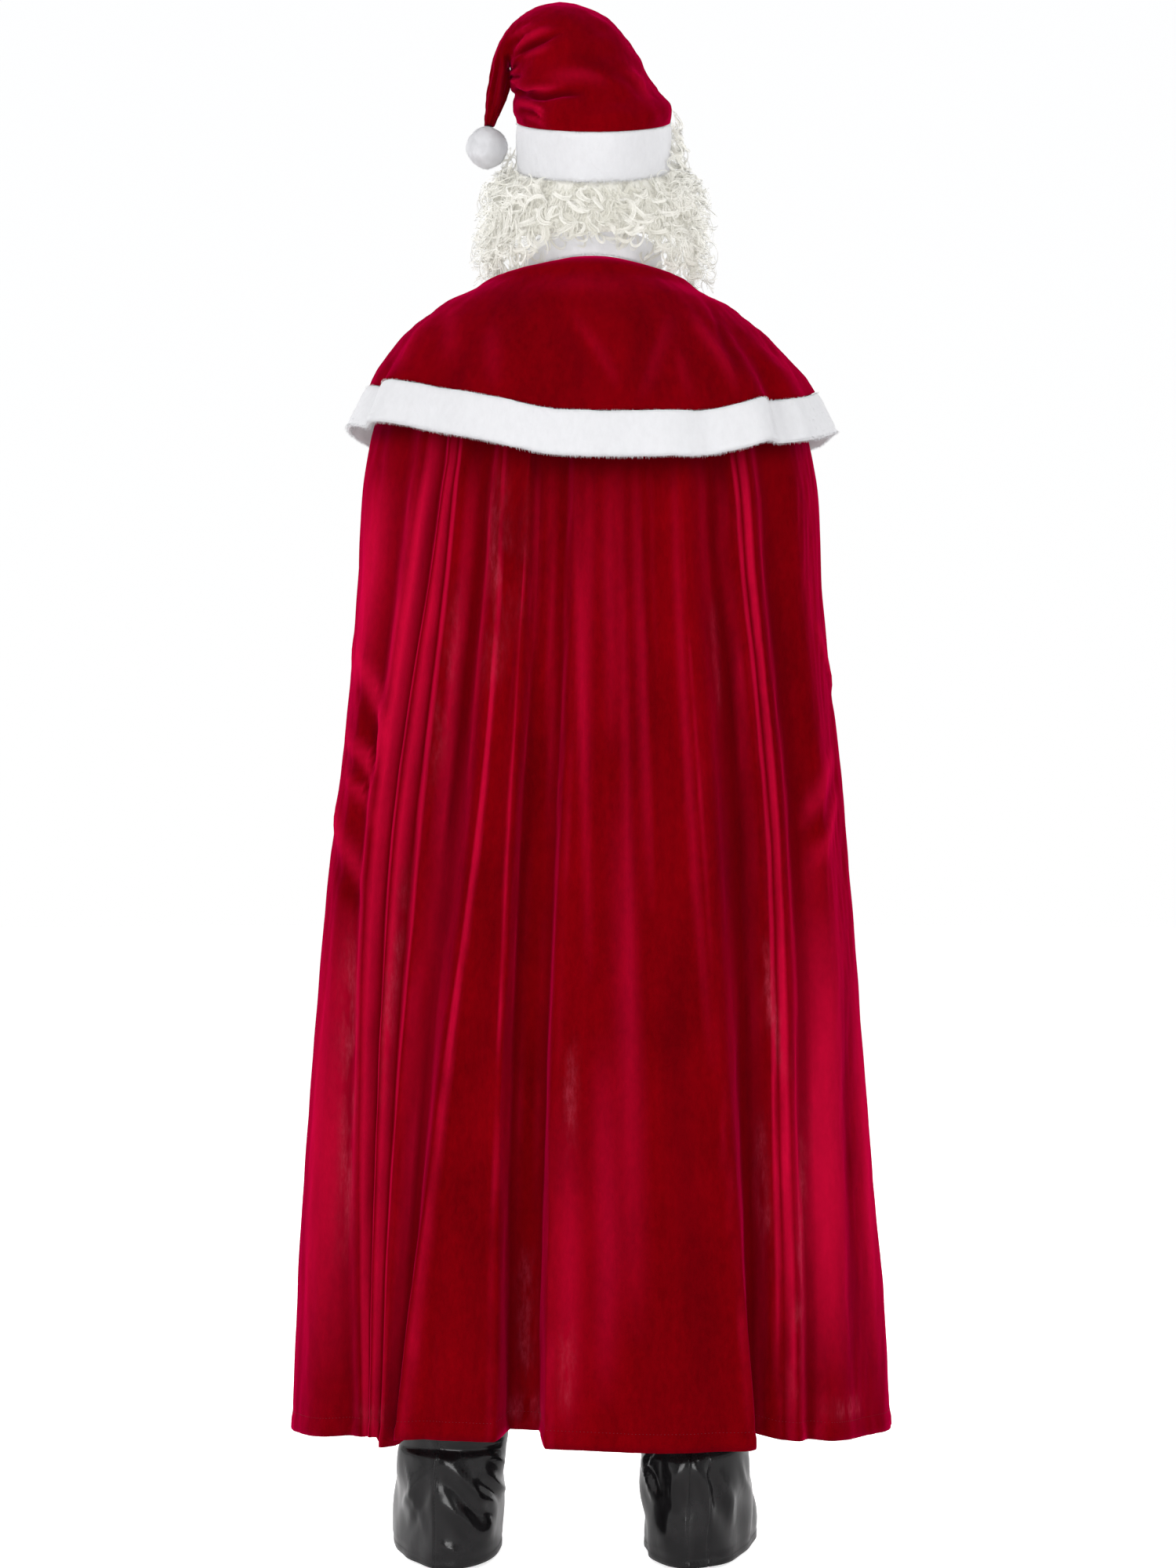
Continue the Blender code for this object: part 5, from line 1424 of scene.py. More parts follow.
def curl_strands(draw, line, radius, pitch, strands, width, depth, spray=0.09):
    """Ribbons of hair wound round a line: the points, normals and shade of each.

    The line lies at a depth below the wig's face, and no strand sinks to the backing.
    """
    axis, share = line
    tangent = np.gradient(axis, axis=0)
    step = np.linalg.norm(tangent, axis=1)
    tangent /= step[:, None]
    outward = unit(axis * (1.0, 0.8, 0.0))
    side = unit(np.cross(tangent, outward))
    facing = np.cross(side, tangent)
    run = np.cumsum(step) - step[0]
    swell = (0.55 + 0.45 * smoothstep(share / 0.25)) * (
        1 - 0.4 * smoothstep((share - 0.65) / 0.35))
    hand = draw.choice((-1.0, 1.0))
    lit_side = (0.0, 0.7 if axis[0, 1] > -0.015 else -0.7, 0.0)
    deep = draw.uniform(0.35, 0.8)
    roll = draw.uniform(0.1, 0.75)
    start = draw.uniform(0, 2 * math.pi)
    ribbons = []
    for _ in range(strands):
        reach = radius * (swell + draw.uniform(-0.12, 0.12)
                          + 0.07 * np.sin(share * draw.uniform(5, 14) + draw.uniform(0, 6)))
        shift = draw.uniform(-spray, spray)
        phase = hand * (2 * math.pi * (run / pitch + shift)
                        + 0.3 * np.sin(run / pitch * 2.1 + draw.uniform(0, 6))) + start
        ahead, aside = np.cos(phase)[:, None], np.sin(phase)[:, None]
        lift = np.maximum(reach * deep * np.cos(phase), depth - CURL_FLOOR)[:, None]
        path = axis + facing * lift + reach[:, None] * (side * aside
                                                        + tangent * (roll * ahead))
        open_side = outward + 0.6 * (facing * ahead + side * aside) + lit_side
        across = unit(np.cross(unit(np.gradient(path, axis=0)), open_side))
        taper = np.minimum(1.0, 4 * (1 - share) + 0.15) * width * draw.uniform(0.6, 1.3)
        last = int(len(path) * draw.uniform(0.8, 1.0))
        half = across * taper[:, None] / 2
        points, normals = (np.stack(pair, axis=1)[:last].reshape(-1, 3) for pair in (
            (path - half, path + half),
            (open_side - across * 0.35, open_side + across * 0.35)))
        ribbons.append((points, unit(normals), draw.uniform(-0.35, 0.35)))
    return ribbons


def curls_mesh(name, locks, tone):
    """One mesh of many locks, each with its own tone from a range."""
    draw = np.random.default_rng(57)
    faces, tones, first = [], [], 0
    for lock in locks:
        lock_tone = draw.uniform(*tone)
        for points, _, shade in lock:
            faces += (grid_faces(len(points) // 2, 2) + first).tolist()
            tones += [shade + lock_tone] * len(points)
            first += len(points)
    points, normals = (np.concatenate([ribbon[k] for lock in locks for ribbon in lock])
                       for k in (0, 1))
    mesh = new_mesh(name, points, faces)
    mesh.normals_split_custom_set_from_vertices(normals.tolist())
    store_share(mesh, "tone", tones)
    return mesh


def grow_locks(draw, count, span, tops, length, radius, inset, strands, spray, look):
    """Locks spread round the head over a span of angles."""
    locks = []
    for k in range(count):
        angle = span[0] + (span[1] - span[0]) * (k + draw.uniform(0, 1)) / count
        size = radius * draw.uniform(0.75, 1.2)
        top = draw.uniform(*tops)
        end = min(top + length * draw.uniform(0.8, 1.2), 1.06)
        pitch = size * draw.uniform(1.8, 3.1)
        steps = max(int(0.125 * (end - top) / pitch * 16) + 6, 12)
        depth = inset + size * 0.6
        locks.append(curl_strands(draw, curl_axis(draw, angle, top, end, depth, steps),
                                  size, pitch, strands, look.strand_width, depth, spray))
    return locks


def grow_waves(draw, look, edge):
    """The fine wavy hair that lies under the curls."""
    waves = []
    for k in range(look.waves):
        angle = -edge + 2 * edge * (k + draw.uniform(0, 1)) / look.waves
        top = draw.uniform(-0.04, 0.3)
        last = top + draw.uniform(0.55, 0.75)
        depth = draw.uniform(0.006, 0.013)
        waves.append(curl_strands(draw, curl_axis(draw, angle, top, last, depth, 26),
                                  draw.uniform(0.002, 0.004), draw.uniform(0.018, 0.03), 3,
                                  look.strand_width * 1.3, depth, 0.3))
    return waves


def grow_temple_locks(draw, look):
    """Short locks that stand up beside the hat's band, in front of the ears."""
    locks = []
    for angle, top, end in (lock for lock in TEMPLE_LOCKS for _ in range(2)):
        size = draw.uniform(0.008, 0.012)
        line = curl_axis(draw, angle + draw.uniform(-4, 4), top, end,
                         draw.uniform(-0.012, 0.0), 48)
        locks.append(curl_strands(draw, line, size, size * draw.uniform(1.6, 2.4), 7,
                                  look.strand_width, 0.0))
    return locks


def grow_strays(draw, look, edge):
    """Single loose curls that stand off the sides."""
    strays = []
    for _ in range(look.strays):
        angle = draw.choice((-1.0, 1.0)) * draw.uniform(44, edge)
        top = draw.uniform(-0.05, 0.85)
        line = curl_axis(draw, angle, top, top + draw.uniform(0.1, 0.3),
                         draw.uniform(-0.01, -0.003), 30)
        strays.append(curl_strands(draw, line, draw.uniform(0.009, 0.014),
                                   draw.uniform(0.018, 0.03), 2, look.strand_width * 1.2,
                                   0.0))
    return strays


def build_wig():
    look = look_of("curls")
    edge = 180 - FACE_OPENING
    draw = np.random.default_rng(51)
    around = (-edge, edge)
    layers = (
        # locks, span, range of starts, length, curl radius, inset, strands, spray
        (116, around, (-0.1, 0.55), 0.45, 0.01, 0.007, 9, 0.12),
        (42, around, (-0.08, 0.42), 0.42, 0.0125, 0.0, 13, 0.11),
        (38, around, (0.42, 0.7), 0.4, 0.012, 0.0005, 13, 0.11),
        (17, (34, 82), (0.62, 0.85), 0.42, 0.011, 0.008, 13, 0.1),
        (17, (-82, -34), (0.62, 0.85), 0.42, 0.011, 0.008, 13, 0.1),
    )
    inner, outer, *lower = [grow_locks(draw, *layer, look) for layer in layers]
    waves = grow_waves(draw, look, edge)
    temples = grow_temple_locks(draw, look)
    strays = grow_strays(draw, look, edge)
    # The tone ranges paint shade by depth: the inner locks and waves darker, the outer ones
    # lighter; within a range the tone differs at random.
    for name, locks, tone in (("wig_curls_inner", inner, (0.05, 0.5)),
                              ("wig_curls_outer", outer + strays, (0.7, 1.1)),
                              ("wig_curls_ends", sum(lower, temples), (0.45, 1.0)),
                              ("wig_waves", waves, (0.2, 0.6))):
        add_piece(curls_mesh(name, locks, tone), finish_curls("cream_curls"), "curls", "wig")
    build_wig_cap()


def build_wig_cap():
    """The close cap under the hat and the backing that the curls are sewn on."""
    columns = 28
    angles = np.arange(columns) * 360 / columns - 180
    rows = []
    for k, (up, half_width, half_depth, tilt) in enumerate(WIG_ROWS[:-1]):
        inset = CAP_INSETS[(k >= CURL_ROW) + (k > CURL_ROW)]
        flat, _ = even_oval(angles, half_width - inset, half_depth - inset)
        flat[:, 2] = up
        rows.append([Vector(point) for point in head_points(flat, tilt)])

    def at_face(r, c):
        middle = 360 * (c + 0.5) / columns - 180
        return r >= CURL_ROW and abs(middle) > 180 - FACE_OPENING + 6

    mesh = cloth_surface("wig_cap", rows, 2, closed=True, missing=at_face, cap=True)
    push_out(mesh, 0.0012 * wobble(vertex_array(mesh), 0.012, 55))
    store_share(mesh, "tone", np.full(len(mesh.vertices), 0.75))
    thicken(add_piece(mesh, finish_curls("cream_curls"), "curls", "wig"), 0.0015)


# ---- Jacket ----
def jacket_surface(angle, height, out=0.0):
    """Points and outward directions of the jacket's outer face."""
    angle, height = np.broadcast_arrays(np.asarray(angle, float), np.asarray(height, float))
    half_width, half_depth, drop = read_table(JACKET_SECTIONS, height)
    points, outward = even_oval(angle, half_width, half_depth, out)
    return at_height(points, height - drop * front_share(angle)), outward


def jacket_row(row, angles):
    """A row of a panel's cage, held back at both ends by half of a seam."""
    points, outward = jacket_surface(angles, JACKET_SECTIONS[row][0])
    for end, inward in ((0, 1), (-1, -1)):
        points[end] += np.array((outward[end][1], -outward[end][0], 0)) * PANEL_SEAM * inward
    return [Vector(point) for point in points]


def build_jacket_panel(name, first, last, levels):
    """One panel between two seams, with its share of the armholes cut away."""
    angles = np.linspace(first, last, int(round((last - first) / PANEL_STEP)) + 1)
    rows = [jacket_row(row, angles) for row in range(len(JACKET_SECTIONS))]

    def armhole(r, c):
        middle = (angles[c] + angles[c + 1]) / 2
        beside = abs(abs(middle) - 90) < PANEL_STEP * ARMHOLE_STEPS
        return beside and ARMHOLE_TOP_ROW <= r < ARMHOLE_FOOT_ROW

    mesh = cloth_surface(name + "_velvet", rows, levels, missing=armhole)
    points = vertex_array(mesh)
    paths = crease_paths(JACKET_CREASES, lambda a, h: jacket_surface(a, h)[0], MM)
    push = relief(points, paths) + 0.0009 * wobble(points, (0.05, 0.05, 0.09), 61)
    angle = np.degrees(np.arctan2(points[:, 0], points[:, 1]))
    calm = np.minimum(smoothstep(np.abs(angle - first) / 5),
                      smoothstep(np.abs(angle - last) / 5))
    height = points[:, 2] + NECK_HEIGHT
    at_belt = np.exp(-((height - (BELT_TOP + BELT_FOOT) / 2) / 0.034) ** 4)
    calm *= (1 - at_belt) * smoothstep((height - 0.8) / 0.02)
    push_out(mesh, push * calm)
    return velvet_piece(mesh, name)


def build_jacket_hem_trim():
    edge, outward = jacket_surface(np.linspace(-180, 180, 170), JACKET_SECTIONS[-1][0])
    return plush_band("jacket_hem_plush", edge - outward * 0.001 + DOWN * 0.0006, outward,
                      DOWN, CUFF_PILE, HEM_TRIM_HEIGHT, 63, "jacket_hem_trim",
                      "hidden_plush")


def build_jacket_front_trim():
    """Plush band down the closed front, over the edges of both front panels."""
    top = JACKET_SECTIONS[FRONT_TRIM_TOP_ROW][0]
    heights = np.linspace(top, JACKET_SECTIONS[-1][0] + 0.001, 110)
    start, _ = jacket_surface(180.0, heights)
    start[:, 0] = -FRONT_TRIM_HALF_WIDTH
    start[:, 1] -= 0.0012 + FRONT_PILE / 2
    return plush_band("jacket_front_plush", start, (0.0, -1.0, 0.0), (1.0, 0.0, 0.0),
                      FRONT_PILE, 2 * FRONT_TRIM_HALF_WIDTH, 65, "jacket_front_trim",
                      "hidden_plush")


def build_jacket():
    back = build_jacket_panel("jacket_back", -90.0, 90.0, 2)
    left = build_jacket_panel("jacket_front_left", 90.0, 180.0, 3)
    right = build_jacket_panel("jacket_front_right", -180.0, -90.0, 3)
    hem = build_jacket_hem_trim()
    front = build_jacket_front_trim()


# ---- Sleeves and cuffs ----
def armhole_loop(side):
    """The armhole's edge, from its top round the front, foot and back, just outside."""
    reach = PANEL_STEP * ARMHOLE_STEPS
    steps = np.linspace(-reach, reach, 2 * ARMHOLE_STEPS + 1)
    rows = list(range(ARMHOLE_TOP_ROW, ARMHOLE_FOOT_ROW + 1))
    loop = [(ARMHOLE_TOP_ROW, 90 + step) for step in steps[ARMHOLE_STEPS:]]
    loop += [(row, 90 + reach) for row in rows[1:]]
    loop += [(ARMHOLE_FOOT_ROW, 90 - step) for step in steps[1:]]
    loop += [(row, 90 - reach) for row in list(reversed(rows))[1:]]
    loop += [(ARMHOLE_TOP_ROW, 90 + step) for step in steps[1:ARMHOLE_STEPS]]
    shift = Vector((side * 0.0009, 0, 0))
    return [Vector(jacket_surface(side * angle, JACKET_SECTIONS[row][0])[0]) + shift
            for row, angle in loop]


def sleeve_ring(row, side, count):
    """An oval round the arm, square to its turned axis."""
    x, y, height, half_height, half_depth, turned = row
    turn = math.radians(turned)
    ring = []
    for swing in (2 * math.pi * step / count for step in range(count)):
        rise = half_height * math.cos(swing)
        ring.append(Vector((side * (x + math.sin(turn) * rise),
                            y - half_depth * math.sin(swing),
                            height - NECK_HEIGHT + math.cos(turn) * rise)))
    return ring


def between_rows(rows):
    """The cage rows with one more half-way between each two, for a finer surface."""
    finer = [rows[0]]
    for above, below in zip(rows, rows[1:]):
        finer.append([(a + b) / 2 for a, b in zip(above, below)])
        finer.append(below)
    return finer


def build_sleeve(name, side_name):
    side = SIDES[side_name]
    loop = armhole_loop(side)
    rows = [loop] + [sleeve_ring(row, side, len(loop)) for row in SLEEVE_RINGS]
    if side > 0:
        rows = [list(reversed(row)) for row in rows]
    mesh = cloth_surface(name + "_velvet", between_rows(rows), 2, closed=True)
    points = vertex_array(mesh)
    height = points[:, 2] + NECK_HEIGHT
    elbow = np.exp(-((height - ELBOW_HEIGHT) / 0.07) ** 2)
    push = 0.0016 * wobble(points, (0.05, 0.05, 0.03), 71) * (0.4 + elbow)
    push += 0.0008 * wobble(points, (0.03, 0.03, 0.06), 72)
    calm = smoothstep((1.4 - height) / 0.08) * smoothstep((height - 0.915) / 0.03)
    push_out(mesh, push * calm)
    return velvet_piece(mesh, name)


def build_cuff(name, side_name):
    """Plush cuff below the sleeve's end, square to the arm."""
    end = np.array(SLEEVE_RINGS[-1])
    along = unit(end[:3] - SLEEVE_RINGS[-2][:3])
    half_height, half_depth, turned = end[3:]
    lean = math.radians(turned - 90)
    middle = CUFF_HALF_WIDTH - CUFF_PILE / 2
    flat, outward = even_oval(np.linspace(-180, 180, 100), middle,
                              middle * half_depth / half_height)

    def seat(points):
        return np.stack((points[:, 0] * math.cos(lean), points[:, 1],
                         -points[:, 0] * math.sin(lean)), axis=-1)

    mirror = (SIDES[side_name], 1.0, 1.0)
    start = seat(flat) + (end[:3] - (0, 0, NECK_HEIGHT)) + along * 0.0009
    return plush_band(name + "_plush", start * mirror, seat(outward) * mirror,
                      along * mirror, CUFF_PILE, CUFF_HEIGHT, 73, name, "hidden_plush")


def build_sleeves():
    for side_name in SIDES:
        sleeve = build_sleeve("sleeve_" + side_name, side_name)
        cuff = build_cuff("cuff_" + side_name, side_name)


# ---- Belt and buckle ----
def build_belt():
    """A faux-leather strap round the waist that rides over the front band."""
    angles = np.linspace(-180, 180, 240)
    away = np.abs(180 - np.abs(angles))
    lift = BELT_LIFT + BELT_BUMP * smoothstep((32 - away) / 16) + BELT_THICKNESS / 2
    row = next(k for k, section in enumerate(JACKET_SECTIONS) if section[0] < BELT_TOP) - 1
    middle, outward = jacket_surface(angles, JACKET_SECTIONS[row][0], lift)
    mesh = band_mesh("belt_faux_leather", at_height(middle, BELT_TOP), outward, DOWN,
                     BELT_THICKNESS, BELT_TOP - BELT_FOOT, 24)
    belt = add_piece(mesh, finish_leather("black_faux_leather"), "patent", "belt")
    thread = finish_thread("black_thread", BLACK_THREAD)
    seams = [lay_stitches("belt_stitches_" + label,
                          at_height(middle, height) + outward * BELT_THICKNESS / 2, outward,
                          thread, "patent", *BELT_STITCH)
             for label, height in (("upper", BELT_TOP - BELT_SEAM),
                                   ("lower", BELT_FOOT + BELT_SEAM))]


def build_belt_buckle():
    """The frame keeps its solid's shape and takes a finish of pale brass with fine scratched
    lines.
    """
    buckle = bpy.data.objects["belt_buckle"]
    buckle.data.materials.clear()
    buckle.data.materials.append(finish_brass("brushed_brass"))


# ---- Trousers ----
def leg_centre(side_name, height):
    share = (HIP_HEIGHT - height) / (HIP_HEIGHT - ANKLE_HEIGHT)
    return HIP_CENTRE + (ANKLE_CENTRE[side_name] - HIP_CENTRE) * np.maximum(share, 0.0)


def seat_point(side, across, back, height):
    """A point of the trousers, no nearer to the middle plane than half of the rise."""
    return Vector((side * max(across, RISE_GAP), back, height - NECK_HEIGHT))


def hip_row(section, side):
    """Half of the seat, then the way back along the middle plane."""
    height, half_width, half_depth = section
    points = []
    for swing in np.radians(OUTER_ANGLES):
        points.append(seat_point(side, half_width * math.sin(swing),
                                 half_depth * math.cos(swing), height))
    for share in INNER_SHARES:
        points.append(seat_point(side, 0, half_depth * (2 * share - 1) * RISE_DEPTH,
                                 height - RISE_DIP * math.sin(math.pi * share)))
    return points


def leg_row(section, side_name, side):
    """A leg's oval, with the same columns as the seat above it."""
    height, half_width, half_depth = section
    middle = leg_centre(side_name, height)
    return [seat_point(side, max(middle + half_width * math.sin(swing), RISE_GAP * 4),
                       half_depth * math.cos(swing), height)
            for swing in np.radians(OUTER_ANGLES + [180 + 180 * k for k in INNER_SHARES])]


def build_trouser_half(name, side_name):
    """One leg with its half of the seat, joined to the other at the middle seam."""
    side = SIDES[side_name]
    rows = [hip_row(section, side) for section in HIP_SECTIONS]
    rows += [leg_row(section, side_name, side) for section in LEG_SECTIONS]
    crotch = 2 * (len(HIP_SECTIONS) - 1)
    count = len(rows[0])
    if side < 0:
        rows = [list(reversed(row)) for row in rows]

    def above_crotch(r, c):
        place_in_row = c if side > 0 else count - 2 - c
        return r < crotch and place_in_row % count >= len(OUTER_ANGLES) - 1

    mesh = cloth_surface(name + "_velvet", between_rows(rows), 2, closed=True,
                         missing=above_crotch)
    points = vertex_array(mesh)
    height = points[:, 2] + NECK_HEIGHT
    knee = np.exp(-((height - KNEE_HEIGHT) / 0.09) ** 2)
    push = 0.0022 * wobble(points, (0.07, 0.07, 0.035), 81) * (0.35 + knee)
    push += 0.0016 * wobble(points, (0.035, 0.035, 0.22), 82)
    calm = smoothstep((0.8 - height) / 0.06) * smoothstep((height - 0.43) / 0.04)
    push_out(mesh, push * calm - 0.0008)
    return velvet_piece(mesh, name)


def build_trousers():
    for side_name in SIDES:
        half = build_trouser_half("trousers_" + side_name, side_name)


# ---- Boot covers ----
def boot_surface(side_name, angle, height):
    """Points of a boot cover's outer face, by angle from the heel and by height."""
    half_width, half_depth, middle = read_table(BOOT_SECTIONS, height)
    flat, _ = even_oval(angle, half_width, half_depth)
    turn = math.radians(BOOT_TURN[side_name]) * smoothstep((0.3 - height) / 0.25)
    y = flat[..., 1] + middle
    centre = SIDES[side_name] * leg_centre(side_name, np.maximum(height, ANKLE_HEIGHT))
    return np.stack((centre + flat[..., 0] * np.cos(turn) - y * np.sin(turn),
                     flat[..., 0] * np.sin(turn) + y * np.cos(turn),
                     height - NECK_HEIGHT), axis=-1)


def build_boot(name, side_name):
    """Shaft and foot of a boot cover with its back seam, ankle gathers and stitched hem."""
    back_seam = BOOT_SEAM[side_name]
    seams = [back_seam + step for step in np.linspace(-2.8, 2.8, 9)]
    seams += [panel + step for panel in BOOT_PANELS[side_name][1:]
              for step in np.linspace(-1.8, 1.8, 5)]
    angles = np.unique(np.concatenate((np.linspace(-180, 180, 92, endpoint=False), seams)))
    heights = np.concatenate((np.linspace(0.44, 0.175, 22), np.linspace(0.168, 0.004, 46)))
    across, level = np.meshgrid(angles, heights)
    grid = boot_surface(side_name, across, level)
    flat, around, above = grid.reshape(-1, 3), across.reshape(-1), level.reshape(-1)
    push = relief(flat, crease_paths(BOOT_CREASES[side_name],
                                     lambda a, h: boot_surface(side_name, a, h), MM)) * 1.5
    push += 0.0016 * wobble(flat, (0.06, 0.06, 0.09), 91)
    push += (0.0036 * np.exp(-np.abs(around - back_seam) / 14.0)
             * smoothstep((0.15 - above) / 0.02))
    for panel in BOOT_PANELS[side_name]:
        push -= 0.0014 * np.exp(-((around - panel) / 0.85) ** 2)
    turn = np.radians(around)
    ankle = np.exp(-((above - BOOT_ANKLE) / 0.013) ** 2)
    push += 0.001 * ankle * np.sin(turn * 46) * (np.cos(turn) > -0.2)
    push -= 0.001 * np.exp(-((above - BOOT_HEM - 0.0015) / 0.0022) ** 2) + 0.0003
    grid = pushed(grid, push * smoothstep((0.44 - above) / 0.012), True)
    boot = add_piece(grid_mesh(name + "_faux_leather", grid, closed=True),
                     finish_leather("black_faux_leather"), "patent", name)
    thicken(boot, BOOT_WALL)
    normals = grid_normals(grid, True)
    row = int(np.argmin(np.abs(heights - BOOT_HEM)))
    column = int(np.argmin(np.abs(angles - back_seam)))
    hem = [np.concatenate((part[row], part[row, :1])) for part in (grid, normals)]
    lines = (("_hem_stitches", *hem), ("_back_stitches", grid[:, column], normals[:, column]))
    thread = finish_thread("black_thread", BLACK_THREAD)
    return boot, [lay_stitches(name + label, *line, thread, "patent", *BOOT_STITCH)
                  for label, *line in lines]


def build_boots():
    for side_name in SIDES:
        boot, seams = build_boot("boot_" + side_name, side_name)


# ---- Studio ----
def build_stage():
    """A wide, pale floor that meets the white surround out of sight."""
    look = look_of("studio")
    mesh = made_shape("studio_floor", bmesh.ops.create_circle, (0, 0, -NECK_HEIGHT),
                      cap_ends=True, segments=96, radius=look.floor_radius)
    material, tree, shader = start_finish("studio_paper", Roughness=0.9,
                                          Specular_IOR_Level=0.1)
    paper = tint(tree, grain(tree, 0.9, 2.0), (0.86, 0.86, 0.86), (0.9, 0.9, 0.9))
    sight = add_node(tree, "LightPath").outputs["Is Camera Ray"]
    wire(tree, shader, Base_Color=paper, Emission_Color=paper,
         Emission_Strength=spread(tree, sight, 0, 1, 0, look.floor_glow))
    mesh.materials.append(material)
    new_object("studio_floor", mesh)


def build_camera():
    look = look_of("studio")
    lens = bpy.data.cameras.new("studio_camera")
    lens.lens = look.lens
    lens.sensor_width = 36.0
    camera = new_object("studio_camera", lens)
    camera.location = (look.camera_aside, look.camera_distance,
                       look.camera_height - NECK_HEIGHT)
    camera.rotation_euler = (math.radians(90), 0, math.radians(180))
    bpy.context.scene.camera = camera


def aim_softbox(name, place, target, size, power):
    light = bpy.data.lights.new(name, "AREA")
    light.shape = "RECTANGLE"
    light.size, light.size_y = size
    light.energy = power
    lamp = new_object(name, light)
    lamp.location = place
    lamp.rotation_euler = (Vector(target) - Vector(place)).to_track_quat("-Z", "Y").to_euler()


def build_lights():
    """Soft boxes on all four sides, stronger behind, and a white surround."""
    look = look_of("studio")
    waist, tall = (0, 0, -0.55), (1.4, 2.0)      # what the boxes aim at, and their size
    aim_softbox("softbox_back_left", (2.7, 2.3, 1.1), waist, tall, look.key_power)
    aim_softbox("softbox_back_right", (-2.7, 2.3, 1.1), waist, tall, look.key_power * 0.9)
    aim_softbox("softbox_low", (0, 3.3, -0.95), (0, 0, 0.05), (1.6, 0.8), look.low_power)
    aim_softbox("softbox_front_left", (2.4, -2.6, 1.4), waist, tall, look.fill_power)
    aim_softbox("softbox_front_right", (-2.4, -2.6, 1.4), waist, tall,
                look.fill_power * 0.85)
    world = bpy.data.worlds.new("studio_surround")
    world.use_nodes = True
    tree = world.node_tree
    direction = add_node(tree, "TexCoord").outputs["Generated"]
    parts = add_node(tree, "SeparateXYZ", Vector=direction).outputs
    overhead = spread(tree, parts["Z"], 0.0, 0.9)
    left = spread(tree, parts["X"], 0.15, 0.95, 0.0, look.wall_left)
    right = spread(tree, parts["X"], -0.15, -0.95, 0.0, look.wall_right)
    glow = combine(tree, "ADD", combine(tree, "ADD", left, right), look.ambient)
    strength = tree.nodes.new("ShaderNodeMix")
    strength.data_type = "FLOAT"
    sight = add_node(tree, "LightPath").outputs["Is Camera Ray"]
    for socket, value in ((0, sight), (2, glow), (3, look.surround)):
        feed(tree, strength.inputs[socket], value)
    wire(tree, tree.nodes["Background"], Strength=strength.outputs[0],
         Color=tint(tree, overhead, (1.0, 1.0, 1.0), (0.97, 0.98, 1.0)))
    bpy.context.scene.world = world
    view = bpy.context.scene.view_settings
    view.view_transform, view.look, view.exposure = "Standard", "None", look.exposure


# ---- Settings ----
class SantaSuitVelvet(bpy.types.PropertyGroup):
    colour: FloatVectorProperty(
        name="Velvet", description="Colour of the velvet's pile", subtype="COLOR", size=3,
        default=(0.138, 0.0002, 0.0017), min=0, max=1)
    sheen_colour: FloatVectorProperty(
        name="Sheen", description="Colour of the light that grazes the pile",
        subtype="COLOR", size=3, default=(0.9, 0.002, 0.11), min=0, max=1)
    # Painted sheen colour for the side zones, fold flanks and crease ridges.
    sheen_zone_colour: FloatVectorProperty(
        name="Brushed", description="Colour where the pile lies open", subtype="COLOR",
        size=3, default=(0.49, 0.003, 0.033), min=0, max=1)
    # Painted shade colour for fold bottoms, crease troughs and the band's shadow.
    hollow_colour: FloatVectorProperty(
        name="Hollow", description="Colour deep in the folds", subtype="COLOR", size=3,
        default=(0.078, 0.0001, 0.0018), min=0, max=1)
    worn_colour: FloatVectorProperty(
        name="Worn", description="Colour where the pile is thin and the ground shows",
        subtype="COLOR", size=3, default=(0.34, 0.03, 0.055), min=0, max=1)
    sheen: FloatProperty(
        name="Sheen weight", description="How strongly the pile catches grazing light",
        default=0.55, min=0, max=1, subtype="FACTOR")
    wall: FloatProperty(
        name="Thickness", description="Thickness of the velvet", default=0.0015,
        min=0.0005, max=0.003, unit="LENGTH")


class SantaSuitPlush(bpy.types.PropertyGroup):
    colour: FloatVectorProperty(
        name="Plush", description="Colour of the pile", subtype="COLOR", size=3,
        default=(0.545, 0.545, 0.56), min=0, max=1)
    pile_length: FloatProperty(
        name="Pile length", description="Length of the longest blades of pile",
        default=0.0026, min=0.001, max=0.02, unit="LENGTH")
    pile_width: FloatProperty(
        name="Pile width", description="Width of a blade of pile at its root",
        default=0.0005, min=0.0002, max=0.004, unit="LENGTH")
    pile_density: FloatProperty(
        name="Pile density", description="Blades of pile on each square millimetre",
        default=0.1, min=0.02, max=2.0)
    fringe_spacing: FloatProperty(
        name="Fringe spacing", description="Distance between the blades along an edge",
        default=0.00018, min=0.0001, max=0.01, unit="LENGTH")


class SantaSuitCurls(bpy.types.PropertyGroup):
    colour: FloatVectorProperty(
        name="Hair", description="Colour of the lightest locks", subtype="COLOR", size=3,
        default=(0.745, 0.735, 0.69), min=0, max=1)
    # The darkest locks carry painted shade: the inner layers are drawn towards this colour.
    shade_colour: FloatVectorProperty(
        name="Hair shade", description="Colour of the darkest locks", subtype="COLOR",
        size=3, default=(0.47, 0.455, 0.38), min=0, max=1)
    strand_width: FloatProperty(
        name="Strand width", description="Width of one strand of a lock", default=0.00045,
        min=0.0003, max=0.004, unit="LENGTH")
    waves: IntProperty(
        name="Waves", description="Wavy strands that lie under the curls, in threes",
        default=420, min=0, max=900)
    strays: IntProperty(
        name="Stray curls", description="Loose curls that stand off the sides",
        default=230, min=0, max=600)


class SantaSuitLeather(bpy.types.PropertyGroup):
    colour: FloatVectorProperty(
        name="Faux leather", description="Colour of the boot covers and belt",
        subtype="COLOR", size=3, default=(0.0065, 0.006, 0.0066), min=0, max=1)
    roughness: FloatProperty(
        name="Roughness", description="Roughness of its smoothest parts", default=0.13,
        min=0, max=1, subtype="FACTOR")


